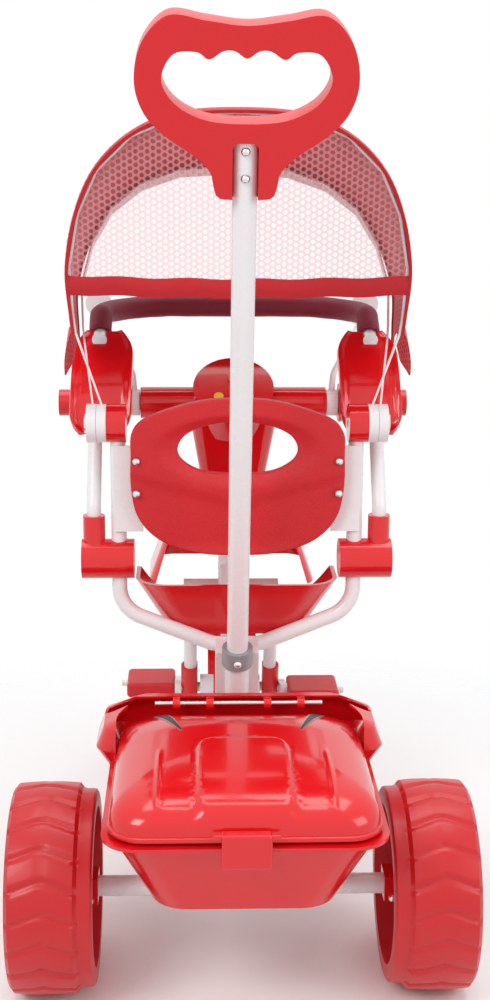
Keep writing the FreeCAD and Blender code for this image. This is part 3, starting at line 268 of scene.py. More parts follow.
def new_group(name: str, inputs: dict[str, float | tuple], outputs: dict[str, str]
              ) -> tuple[bpy.types.NodeTree, bpy.types.Node, bpy.types.Node]:
    """Start a shader node group with named sockets.

    Args:
        name: the group's name.
        inputs: socket names with their default numbers, or a tuple for a vector.
        outputs: socket names with their kinds.
    Returns:
        The tree and its input and output nodes.
    """
    tree = bpy.data.node_groups.new(name, "ShaderNodeTree")
    for label, value in inputs.items():
        kind = "NodeSocketVector" if isinstance(value, tuple) else "NodeSocketFloat"
        socket = tree.interface.new_socket(label, in_out="INPUT", socket_type=kind)
        socket.default_value = value
    for label, kind in outputs.items():
        tree.interface.new_socket(label, in_out="OUTPUT", socket_type=kind)
    return tree, tree.nodes.new("NodeGroupInput"), tree.nodes.new("NodeGroupOutput")


def maths(tree: bpy.types.NodeTree, operation: str, a: object, b: object = 0.0,
          c: object = 0.0) -> bpy.types.NodeSocket:
    """A math node on sockets or numbers.

    Args:
        tree: the tree it goes in.
        operation: the node's operation.
        a: the first value.
        b: the second value.
        c: the third value.
    Returns:
        Its output socket.
    """
    node = tree.nodes.new("ShaderNodeMath")
    node.operation = operation
    for socket, value in zip(node.inputs, (a, b, c)):
        if isinstance(value, bpy.types.NodeSocket):
            tree.links.new(value, socket)
        else:
            socket.default_value = value
    return node.outputs[0]


def noise_mask(tree: bpy.types.NodeTree, place: object, scale: object, detail: float = 3.0
               ) -> bpy.types.NodeSocket:
    """A noise texture's value at a place and scale."""
    node = tree.nodes.new("ShaderNodeTexNoise")
    node.inputs["Detail"].default_value = detail
    tree.links.new(place, node.inputs["Vector"])
    if isinstance(scale, bpy.types.NodeSocket):
        tree.links.new(scale, node.inputs["Scale"])
    else:
        node.inputs["Scale"].default_value = scale
    return node.outputs["Fac"]


def moulded_group() -> bpy.types.NodeTree:
    """Handling marks and slow colour drift of a moulded or painted surface."""
    tree, given, out = new_group(
        "moulded surface", {"Place": (0.0, 0.0, 0.0), "Drift": 0.06, "Smudge": 0.1},
        {"Shade": "NodeSocketFloat", "Rough": "NodeSocketFloat", "Ripple": "NodeSocketFloat"})
    place = given.outputs["Place"]
    cloud = noise_mask(tree, place, 9.0, 2.0)
    smudge = noise_mask(tree, place, 46.0, 5.0)
    centred = maths(tree, "SUBTRACT", cloud, 0.5)
    shade = maths(tree, "MULTIPLY_ADD", centred, given.outputs["Drift"], 1.0)
    streak = maths(tree, "POWER", smudge, 3.0)
    rough = maths(tree, "MULTIPLY", streak, given.outputs["Smudge"])
    ripple = noise_mask(tree, place, 24.0, 1.0)
    for label, socket in (("Shade", shade), ("Rough", rough), ("Ripple", ripple)):
        tree.links.new(socket, out.inputs[label])
    return tree


def grain_group() -> bpy.types.NodeTree:
    """A fine leather-like mould grain."""
    tree, given, out = new_group("mould grain", {"Place": (0.0, 0.0, 0.0), "Scale": 700.0},
                                 {"Height": "NodeSocketFloat"})
    cell = tree.nodes.new("ShaderNodeTexVoronoi")
    cell.feature = "DISTANCE_TO_EDGE"
    tree.links.new(given.outputs["Place"], cell.inputs["Vector"])
    tree.links.new(given.outputs["Scale"], cell.inputs["Scale"])
    fine = noise_mask(tree, given.outputs["Place"], given.outputs["Scale"], 4.0)
    edge = maths(tree, "MINIMUM", maths(tree, "MULTIPLY", cell.outputs["Distance"], 3.0), 1.0)
    height = maths(tree, "MULTIPLY_ADD", fine, 0.5, edge)
    tree.links.new(height, out.inputs["Height"])
    return tree


def net_group() -> bpy.types.NodeTree:
    """A knitted net of six-sided holes, from three waves sixty degrees apart."""
    tree, given, out = new_group("knitted net", {"Place": (0.0, 0.0, 0.0), "Pitch": 0.004,
                                                 "Thread": 0.0},
                                 {"Thread mask": "NodeSocketFloat", "Wave": "NodeSocketFloat"})
    split = tree.nodes.new("ShaderNodeSeparateXYZ")
    tree.links.new(given.outputs["Place"], split.inputs[0])
    step = maths(tree, "DIVIDE", math.tau, given.outputs["Pitch"])
    total = None
    for k in range(3):
        turn = math.radians(60 * k)
        flat = maths(tree, "MULTIPLY", split.outputs["X"], math.cos(turn))
        line = maths(tree, "MULTIPLY_ADD", split.outputs["Y"], math.sin(turn), flat)
        wave = maths(tree, "COSINE", maths(tree, "MULTIPLY", line, step))
        total = wave if total is None else maths(tree, "ADD", total, wave)
    shifted = maths(tree, "SUBTRACT", given.outputs["Thread"], total)
    crisp = maths(tree, "MULTIPLY_ADD", shifted, 2.2, 0.5)
    mask = maths(tree, "MINIMUM", maths(tree, "MAXIMUM", crisp, 0.0), 1.0)
    tree.links.new(mask, out.inputs["Thread mask"])
    tree.links.new(total, out.inputs["Wave"])
    return tree


GROUPS = {"moulded": moulded_group(), "grain": grain_group(), "net": net_group()}


# --- finishes ---------------------------------------------------------------------------------

class Surface(Enum):
    """How the skin of a finish is textured."""

    SLEEK = "sleek"
    GRAINED = "grained"
    MESH = "mesh"
    NET = "net"


@dataclass(frozen=True)
class Finish:
    """One material of the tricycle: its colour, shine and skin."""

    name: str
    colour: tuple[float, float, float]
    rough: float
    surface: Surface = Surface.SLEEK
    metallic: float = 0.0
    coat: float = 0.0
    bump: float = 0.08
    drift: float = 0.06
    smudge: float = 0.12
    grain_scale: float = 700.0
    clear: float = 0.0
    sheen: float = 0.0
    pitch: float = 0.004
    alpha: float = 1.0

    def material(self) -> bpy.types.Material:
        """Build the finish's nodes.

        Returns:
            The material, built once and found by name after that.
        """
        known = bpy.data.materials.get(self.name)
        if known:
            return known
        material = bpy.data.materials.new(self.name)
        material.use_nodes = True
        tree = material.node_tree
        shader = tree.nodes["Principled BSDF"]
        for label, value in (("Metallic", self.metallic), ("Coat Weight", self.coat),
                             ("Coat Roughness", 0.04), ("Transmission Weight", self.clear),
                             ("Sheen Weight", self.sheen), ("Sheen Roughness", 0.4)):
            shader.inputs[label].default_value = value
        texture = tree.nodes.new("ShaderNodeTexCoord")
        place = texture.outputs["Object"]
        skin = tree.nodes.new("ShaderNodeGroup")
        skin.node_tree = GROUPS["moulded"]
        skin.inputs["Drift"].default_value = self.drift
        skin.inputs["Smudge"].default_value = self.smudge
        tree.links.new(place, skin.inputs["Place"])
        tint = tree.nodes.new("ShaderNodeMixRGB")
        tint.blend_type = "MULTIPLY"
        tint.inputs["Fac"].default_value = 1.0
        tint.inputs["Color1"].default_value = (*self.colour, 1.0)
        tree.links.new(skin.outputs["Shade"], tint.inputs["Color2"])
        colour = tint.outputs[0]
        rough = maths(tree, "ADD", skin.outputs["Rough"], self.rough)
        height, depth, strength = skin.outputs["Ripple"], 0.0006, self.bump
        if self.surface is Surface.GRAINED:
            grain = tree.nodes.new("ShaderNodeGroup")
            grain.node_tree = GROUPS["grain"]
            grain.inputs["Scale"].default_value = self.grain_scale
            tree.links.new(place, grain.inputs["Place"])
            height, depth = grain.outputs["Height"], 0.0004
        if self.surface in (Surface.MESH, Surface.NET):
            knit = tree.nodes.new("ShaderNodeGroup")
            knit.node_tree = GROUPS["net"]
            knit.inputs["Pitch"].default_value = self.pitch
            tree.links.new(texture.outputs["UV"], knit.inputs["Place"])
            height, depth = knit.outputs["Thread mask"], 0.0008
            if self.surface is Surface.NET:
                knit.inputs["Thread"].default_value = -0.05
                veil = maths(tree, "MULTIPLY_ADD", knit.outputs["Thread mask"],
                             self.alpha - 0.06, 0.06)
                tree.links.new(veil, shader.inputs["Alpha"])
            else:
                # The holes between the threads get painted shade: a darker red that stands in for the
                # shaded inside of the hood seen through them.
                hole_shade = tree.nodes.new("ShaderNodeMixRGB")
                hole_shade.inputs["Color2"].default_value = (*self.colour, 1.0)
                hole_shade.inputs["Color1"].default_value = (*(c * 0.42 for c in self.colour), 1.0)
                tree.links.new(knit.outputs["Thread mask"], hole_shade.inputs["Fac"])
                tree.links.new(hole_shade.outputs[0], tint.inputs["Color1"])
        elif self.alpha < 1.0:
            shader.inputs["Alpha"].default_value = self.alpha
        bump = tree.nodes.new("ShaderNodeBump")
        bump.inputs["Strength"].default_value = strength
        bump.inputs["Distance"].default_value = depth
        tree.links.new(height, bump.inputs["Height"])
        tree.links.new(bump.outputs["Normal"], shader.inputs["Normal"])
        tree.links.new(colour, shader.inputs["Base Color"])
        tree.links.new(rough, shader.inputs["Roughness"])
        return material


GLOSS_RED = Finish("gloss red plastic", (0.72, 0.006, 0.010), 0.16, coat=0.35)
SATIN_RED = Finish("satin red plastic", (0.66, 0.006, 0.010), 0.30, coat=0.10)
GRAINED_RED = Finish("grained red plastic", (0.60, 0.006, 0.012), 0.42, Surface.GRAINED, bump=0.5)
TYRE_RED = Finish("tyre red", (0.55, 0.008, 0.012), 0.36, coat=0.08, bump=0.15)
WHITE_PAINT = Finish("white powder coat", (0.84, 0.82, 0.83), 0.26, bump=0.10, drift=0.03)
WHITE_PLASTIC = Finish("white plastic", (0.82, 0.81, 0.82), 0.30, drift=0.03)
GREY_PLASTIC = Finish("grey plastic", (0.30, 0.30, 0.31), 0.40)
STEEL = Finish("bright steel", (0.72, 0.72, 0.73), 0.24, metallic=1.0)
SILVER_FOIL = Finish("silver foil", (0.55, 0.55, 0.57), 0.28, metallic=0.8)
BLACK_TRIM = Finish("black trim", (0.012, 0.012, 0.014), 0.35)
YELLOW = Finish("yellow plastic", (0.86, 0.60, 0.02), 0.25, coat=0.2)
AMBER = Finish("amber lens", (0.85, 0.16, 0.01), 0.12, coat=0.4)
MAROON_FOAM = Finish("maroon foam", (0.20, 0.004, 0.025), 0.55, Surface.GRAINED, bump=0.35,
                     grain_scale=900.0)
HOOD_MESH = Finish("hood mesh", (0.72, 0.006, 0.014), 0.55, Surface.MESH, bump=0.6, sheen=0.25,
                   pitch=0.0052)
HOOD_TRIM = Finish("hood binding", (0.52, 0.004, 0.012), 0.60, Surface.GRAINED, bump=0.4,
                   sheen=0.2, grain_scale=1100.0)
WINDOW_NET = Finish("window net", (0.92, 0.42, 0.45), 0.6, Surface.NET, pitch=0.0056, alpha=0.42,
                    bump=0.3)

SLOT_FINISH = {
    "white_paint": WHITE_PAINT, "steel": STEEL, "gloss_red": GLOSS_RED,
    "grained_red": GRAINED_RED, "tyre_red": TYRE_RED, "white_plastic": WHITE_PLASTIC,
    "grey_plastic": GREY_PLASTIC, "red_cloth": HOOD_MESH, "net_cloth": WINDOW_NET,
    "maroon_foam": MAROON_FOAM, "yellow_plastic": YELLOW, "amber_lens": AMBER,
    "silver_trim": SILVER_FOIL}


def dress(piece: bpy.types.Object, finish: Finish, slot: str, body: str, *replaced: str) -> None:
    """Give a new piece its finish and the body that it rides on.

    Args:
        piece: the finished mesh.
        finish: the material to wear.
        slot: the record's material slot; not used.
        body: the CAD body that it moves with, or an empty name where it is blended.
        replaced: the CAD nodes that it stands for.
    """
    piece.data.materials.clear()
    piece.data.materials.append(finish.material())
    if body:
        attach(piece, body)
    if replaced:
        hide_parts(*replaced)
    log.info("%s: %d faces", piece.name, len(piece.data.polygons))


def dress_frame_nodes() -> None:
    """Give every carried-over node the finish of its slot."""
    for part in frame["record"]["subparts"]:
        node = frame["nodes"][part["node"]]
        finish = SLOT_FINISH[part["material_slot"]]
        if part["node"] in ("push_handle", "handlebar_grips", "fork_sleeves"):
            finish = SATIN_RED
        node.data.materials.clear()
        node.data.materials.append(finish.material())


def middle(node: str) -> Vector:
    """The middle of a CAD node's box."""
    low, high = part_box(node)
    return (Vector(low) + Vector(high)) / 2


# --- wheels -----------------------------------------------------------------------------------

@dataclass
class RearWheel:
    """A wide moulded tyre with chevron grooves and a flange on its inner side."""

    side: str
    pitches: int = 21
    steps: int = 14
    groove: float = 2.2 * MM
    chevron: float = 0.42
    crown: float = 4 * MM

    def build(self) -> None:
        """Model the tyre from rings that run round the wheel."""
        sign = 1 if self.side == "right" else -1
        low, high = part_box(f"rear_tyre_{self.side}")
        hub = middle(f"rear_tyre_{self.side}")
        outer = (high if sign > 0 else low)[0] * sign
        flange = (low if sign > 0 else high)[0] * sign
        radius = high[2] - hub.z
        inner = flange + 13 * MM
        centre = (inner + outer) / 2
        bore, lip = radius - 20 * MM, radius - 7 * MM
        half = (outer - inner) / 2
        profile = [(inner, bore - 4 * MM, 0), (flange, bore - 4 * MM, 0),
                   (flange, lip - 3 * MM, 0), (flange + 1.5 * MM, lip - 0.6 * MM, 0),
                   (flange + 4 * MM, lip, 0), (inner - 2 * MM, lip, 0),
                   (inner, lip + 1 * MM, 0), (inner + 0.5 * MM, radius - 6 * MM, 0.2),
                   (inner + 3 * MM, radius - 3.2 * MM, 1)]
        for k in range(13):
            share = -0.88 + 1.76 * k / 12
            rise = self.crown * 0.55 * share * share
            profile.append((centre + half * share, radius - rise, 1))
        profile += [(outer - 3 * MM, radius - 3.2 * MM, 1), (outer - 0.5 * MM, radius - 6 * MM, 0.2),
                    (outer, radius - 9 * MM, 0), (outer, bore + 3 * MM, 0),
                    (outer - 1.5 * MM, bore, 0), (outer - 20 * MM, bore - 1 * MM, 0)]
        count = self.pitches * self.steps
        rings = []
        for x, r, depth in profile:
            ring = []
            for k in range(count):
                turn = math.tau * k / count
                phase = (k / self.steps + self.chevron * abs(x - centre) / half) % 1
                cut = max(0.0, 1 - abs(phase - 0.5) / 0.13) * depth * self.groove
                seam = 0.5 * MM * depth if abs(x - centre) < 1.5 * MM else 0
                reach = r - min(cut * 1.6, self.groove) - seam
                ring.append(Vector((x * sign, hub.y + reach * math.sin(turn),
                                    hub.z + reach * math.cos(turn))))
            rings.append(ring)
        tyre = loft(f"tyre_{self.side}", rings, closed=True)
        smooth(tyre, 42)
        dress(tyre, TYRE_RED, "tyre_red", f"rear_wheel_{self.side}", f"rear_tyre_{self.side}")


# --- flat plates with a hole ------------------------------------------------------------------

def closed_curve(points: Sequence[tuple[float, float]], steps: int) -> list[tuple[float, float]]:
    """A smooth closed curve through points and their mirror images.

    Args:
        points: (across, up) from the bottom middle to the top middle, on the right.
        steps: how many steps for each stretch.
    Returns:
        Points once round.
    """
    whole = list(points) + [(-x, z) for x, z in reversed(points) if x > 0]
    count = len(whole)
    curve = []
    for k in range(count):
        a, b, c, d = (Vector((*whole[(k + j) % count], 0)) for j in (-1, 0, 1, 2))
        for step in range(steps):
            t = step / steps
            spot = 0.5 * (2 * b + (c - a) * t + (2 * a - 5 * b + 4 * c - d) * t * t
                          + (3 * b - a - 3 * c + d) * t ** 3)
            curve.append((spot.x, spot.y))
    return curve


def evenly(curve: Sequence[tuple[float, float]], count: int) -> list[tuple[float, float]]:
    """Points evenly spaced round a closed curve."""
    spots = [Vector(spot) for spot in (*curve, curve[0])]
    lengths = [0.0]
    for a, b in zip(spots, spots[1:]):
        lengths.append(lengths[-1] + (b - a).length)
    result, k = [], 0
    for step in range(count):
        goal = lengths[-1] * step / count
        while lengths[k + 1] < goal:
            k += 1
        share = (goal - lengths[k]) / (lengths[k + 1] - lengths[k])
        spot = spots[k].lerp(spots[k + 1], share)
        result.append((spot.x, spot.y))
    return result


def plate_with_hole(name: str, outer: Sequence, hole: Sequence, thickness: float, rounding: float,
                    cuts: int = 8, count: int = 128) -> bpy.types.Object:
    """A rounded plate in the XZ plane with a hole, as two bridged loops given a thickness.

    Args:
        name: the piece's name.
        outer: the outside curve, once round.
        hole: the hole's curve, once round the same way.
        thickness: the plate's thickness along Y.
        rounding: the radius of its edges.
        cuts: how many loops lie between the two curves.
        count: points round each curve.
    Returns:
        The new object, in the middle of its own frame.
    """
    deselect()
    bpy.ops.mesh.primitive_circle_add(vertices=count, radius=2)
    ring = name_piece(name)
    bpy.ops.mesh.primitive_circle_add(vertices=count, radius=1)
    inner = name_piece(f"{name}_hole")
    for piece, curve in ((ring, outer), (inner, hole)):
        for vertex, (x, z) in zip(piece.data.vertices, evenly(curve, count)):
            vertex.co = (x, 0, z)
    ring.select_set(True)
    bpy.context.view_layer.objects.active = ring
    bpy.ops.object.join()
    bpy.ops.object.mode_set(mode="EDIT")
    bpy.ops.mesh.select_all(action="SELECT")
    bpy.ops.mesh.bridge_edge_loops(number_cuts=cuts, interpolation="LINEAR", smoothness=0.0)
    bpy.ops.mesh.select_all(action="SELECT")
    bpy.ops.mesh.normals_make_consistent(inside=False)
    bpy.ops.object.mode_set(mode="OBJECT")
    apply_modifier(ring, "SOLIDIFY", thickness=thickness, offset=0.0)
    apply_modifier(ring, "BEVEL", width=rounding, segments=5, limit_method="ANGLE",
                   angle_limit=math.radians(50))
    return ring


def soft_step(low: float, high: float, value: float) -> float:
    """A smooth rise from 0 at low to 1 at high."""
    share = min(max((value - low) / (high - low), 0.0), 1.0)
    return share * share * (3 - 2 * share)


@dataclass
class PushHandle:
    """The looped handle with finger waves, slotted over the end of the push tube."""

    thickness: float = 26 * MM
    rounding: float = 9 * MM
    slot_width: float = 22.6 * MM
    slot_length: float = 56 * MM
    slot_rise: float = 21 * MM
    slot_rounding: float = 6 * MM
    outer: tuple = ((0, -2), (12, -1), (24, 1), (28, 12), (31, 24), (45, 38), (68, 54), (87, 74),
                    (95, 102), (88, 134), (66, 156), (34, 152), (0, 148))
    hole: tuple = ((0, 66), (34, 69), (60, 82), (72, 103), (62, 124), (42, 126), (32, 120),
                   (20, 127), (10, 127), (0, 121))

    def build(self) -> None:
        """Model the loop, cut its slot and lean it with the tube."""
        low, high = (Vector(corner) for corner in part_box("push_tube"))
        run = high - low
        way = Vector((0, -(run.y - 0.022), run.z - 0.006)).normalized()
        outer = [(x * MM, z * MM) for x, z in closed_curve(self.outer, 8)]
        hole = [(x * MM, z * MM) for x, z in closed_curve(self.hole, 8)]
        loop = plate_with_hole("push_loop", outer, hole, self.thickness, self.rounding)
        deselect()
        bpy.ops.mesh.primitive_cube_add(size=1, location=(0, -self.thickness / 2, self.slot_rise),
                                        scale=(self.slot_width, self.thickness + 2 * MM,
                                               self.slot_length))
        cutter = name_piece("slot_cutter")
        settle(cutter)
        apply_modifier(cutter, "BEVEL", width=self.slot_rounding, segments=4)
        apply_modifier(loop, "BOOLEAN", object=cutter, operation="DIFFERENCE", solver="EXACT")
        bpy.data.objects.remove(cutter)
        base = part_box("push_handle")
        lean = math.atan2(way.y, way.z)
        loop.data.transform(Matrix.Rotation(-lean, 4, "X"))
        bottom = min(vertex.co.z for vertex in loop.data.vertices)
        middle_y = sum((min(v.co.y for v in loop.data.vertices),
                        max(v.co.y for v in loop.data.vertices))) / 2
        goal_y = (base[0][1] + base[1][1]) / 2
        loop.data.transform(Matrix.Translation((0, goal_y - middle_y, base[0][2] - bottom)))
        smooth(loop, 35)
        dress(loop, SATIN_RED, "gloss_red", "push_bar", "push_handle")


@dataclass
class Backrest:
    """The grained back plate, dished round its oval hole and creased below it."""

    thickness: float = 14 * MM
    rounding: float = 5 * MM
    outer: tuple = ((0, 2), (40, 4), (78, 16), (102, 40), (110, 72), (110, 108), (109, 130),
                    (96, 145), (62, 158), (30, 165), (0, 166))
    hole: tuple = ((0, 88), (34, 90), (55, 100), (62, 113), (54, 128), (32, 138), (0, 142))

    def build(self) -> None:
        """Model the plate, then press its dish and crease."""
        low, high = (Vector(corner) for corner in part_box("backrest"))
        outer = [(x * MM, z * MM) for x, z in closed_curve(self.outer, 8)]
        hole = [(x * MM, z * MM) for x, z in closed_curve(self.hole, 8)]
        plate = plate_with_hole("back_plate", outer, hole, self.thickness, self.rounding, cuts=14)
        for vertex in plate.data.vertices:
            x, z = vertex.co.x, vertex.co.z
            oval = math.hypot(x / (62 * MM), (z - 114 * MM) / (26 * MM))
            rear = 1 if vertex.co.y < 0 else 0
            dish = 5 * MM * (1 - soft_step(1.0, 1.42, oval)) * rear
            crease = 2.2 * MM * (1 - soft_step(0, 5 * MM, z - 52 * MM - 0.28 * abs(x))) * rear
            vertex.co.y += dish + crease * soft_step(0, 14 * MM, z)
        plate.data.transform(Matrix.Translation((0, (low.y + high.y) / 2, low.z)))
        smooth(plate, 40)
        dress(plate, GRAINED_RED, "grained_red", "frame", "backrest")


# --- luggage box ------------------------------------------------------------------------------

def rounded_ring(half: float, back: float, front: float, corner: float, z: float, count: int = 96
                 ) -> list[Vector]:
    """A rounded rectangle at a height, with evenly shared points on each side.

    Args:
        half: half its width.
        back: where its back edge is.
        front: where its front edge is.
        corner: its corner radius.
        z: its height.
        count: points round it, a multiple of eight.
    Returns:
        The ring.
    """
    centre = (back + front) / 2
    reach = (front - back) / 2
    ring = []
    arc = count // 8
    for quarter, (sx, sy) in enumerate(((1, 1), (-1, 1), (-1, -1), (1, -1))):
        middle_spot = Vector((sx * (half - corner), centre + sy * (reach - corner), z))
        for step in range(arc):
            turn = math.pi / 2 * (quarter + (step + 0.5) / arc)
            ring.append(middle_spot + Vector((math.cos(turn), math.sin(turn), 0)) * corner)
        following = ((-1, 1), (-1, -1), (1, -1), (1, 1))[quarter]
        target = Vector((following[0] * (half - corner), centre + following[1] * (reach - corner), z))
        out = Vector((0, 1, 0)) if quarter == 0 else Vector((-1, 0, 0)) if quarter == 1 else \
            Vector((0, -1, 0)) if quarter == 2 else Vector((1, 0, 0))
        for step in range(arc):
            ring.append(middle_spot.lerp(target, (step + 0.5) / arc) + out * corner)
    return ring


@dataclass
class LuggageBox:
    """The lidded box over the axle, with its raised arch and foil wedges."""

    arch_half: float = 45 * MM
    arch_rise: float = 4 * MM
    arch_edge: float = 5 * MM
    levels: int = 80

    def lid(self) -> bpy.types.Object:
        """Model the domed lid from rings that close in towards its top.

        Returns:
            The dome.
        """
        low, high = (Vector(corner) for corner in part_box("luggage_lid"))
        tub_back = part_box("luggage_tub")[0][1]
        half = high.x
        back, front = tub_back + 7 * MM, high.y - 3 * MM
        rim, peak = low.z + 2 * MM, high.z + 0.5 * MM
        top_y = back + (front - back) * 0.66
        rings = []
        for k in range(self.levels + 1):
            turn = math.radians(88.5) * k / self.levels
            scale = math.cos(turn) ** 0.62
            height = math.sin(turn) ** 0.72
            ring = []
            for spot in rounded_ring(half, back, front, 34 * MM, 0, 288):
                x, y = spot.x * scale, top_y + (spot.y - top_y) * scale
                z = rim + (peak - rim) * height
                z -= 7 * MM * soft_step(top_y, front, y) * height
                spot = Vector((x, y, z))
                spot.z += self.arch(spot, back, front) * soft_step(0.25, 0.6, height)
                ring.append(spot)
            rings.append(ring)
        lid = loft("lid_dome", rings)
        edges = [rounded_ring(half + 1.5 * MM, back - 2 * MM, front, 35 * MM, low.z, 160),
                 rounded_ring(half + 1.5 * MM, back - 2 * MM, front, 35 * MM, low.z + 4 * MM, 160),
                 rounded_ring(half - 1 * MM, back, front, 34 * MM, low.z + 5 * MM, 160)]
        lip = loft("lid_lip", edges)
        apply_modifier(lip, "BEVEL", width=1 * MM, segments=3, limit_method="ANGLE",
                       angle_limit=math.radians(40))
        for piece in (lid, lip):
            smooth(piece, 50)
            dress(piece, GLOSS_RED, "gloss_red", "lid")
        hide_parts("luggage_lid")
        return lid

    def arch(self, spot: Vector, back: float, front: float) -> float:
        """How far the raised arch stands proud at a spot of the lid."""
        top = back + (front - back) * 0.55
        corner = 24 * MM
        x, y = abs(spot.x), spot.y
        outside = x - self.arch_half
        if y > top - corner:
            outside = math.hypot(max(x - self.arch_half + corner, 0), y - top + corner) - corner
        body = self.arch_rise * (1 - soft_step(-self.arch_edge, 0, outside))
        groove = 1.2 * MM * (1 - soft_step(0, 3 * MM, abs(outside + 1 * MM)))
        rib = 1.6 * MM * (1 - soft_step(0.8 * MM, 3 * MM, abs(x - 78 * MM)))
        rib *= soft_step(back, back + 24 * MM, y) * (1 - soft_step(top - 40 * MM, top - 10 * MM, y))
        return body - groove + rib

    def wedge(self, name: str, sign: int, lid: bpy.types.Object, finish: Finish, wide: float,
              lift: float) -> bpy.types.Object:
        """Model one tapering strip that lies on the lid's dome.

        Args:
            name: the piece's name.
            sign: -1 for the left side and 1 for the right.
            lid: the dome to lie on.
            finish: what it is made of.
            wide: its width at its front end.
            lift: how far it stands off the dome.
        Returns:
            The strip.
        """
        tree = BVHTree.FromObject(lid, bpy.context.evaluated_depsgraph_get())
        high = Vector(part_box("lid_trim")[1])
        front, back = high.y - 2 * MM, high.y - 62 * MM

        def surface(u: float, v: float) -> Vector:
            """A spot of the strip, u across it and v towards its tip."""
            half = wide * (1 - 0.86 * v) / 2
            x = (78 * MM - 20 * MM * v + (2 * u - 1) * half) * sign
            y = front + (back - front) * v
            hit = tree.ray_cast(Vector((x, y, high.z + 0.1)), Vector((0, 0, -1)))[0]
            return hit + Vector((0, 0, lift))

        strip = shaped_grid(name, 8, 40, surface)
        apply_modifier(strip, "SOLIDIFY", thickness=1.2 * MM, offset=0.0)
        smooth(strip, 50)
        dress(strip, finish, "silver_trim", "lid")
        return strip

    def build(self) -> None:
        """Model the lid and the foil wedges on it."""
        dome = self.lid()
        for side, sign in (("left", -1), ("right", 1)):
            self.wedge(f"foil_{side}", sign, dome, SILVER_FOIL, 15 * MM, 0.1 * MM)
            core = self.wedge(f"foil_core_{side}", sign, dome, BLACK_TRIM, 10 * MM, 0.6 * MM)
            if sign > 0:
                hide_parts("lid_trim")


# --- canopy -----------------------------------------------------------------------------------

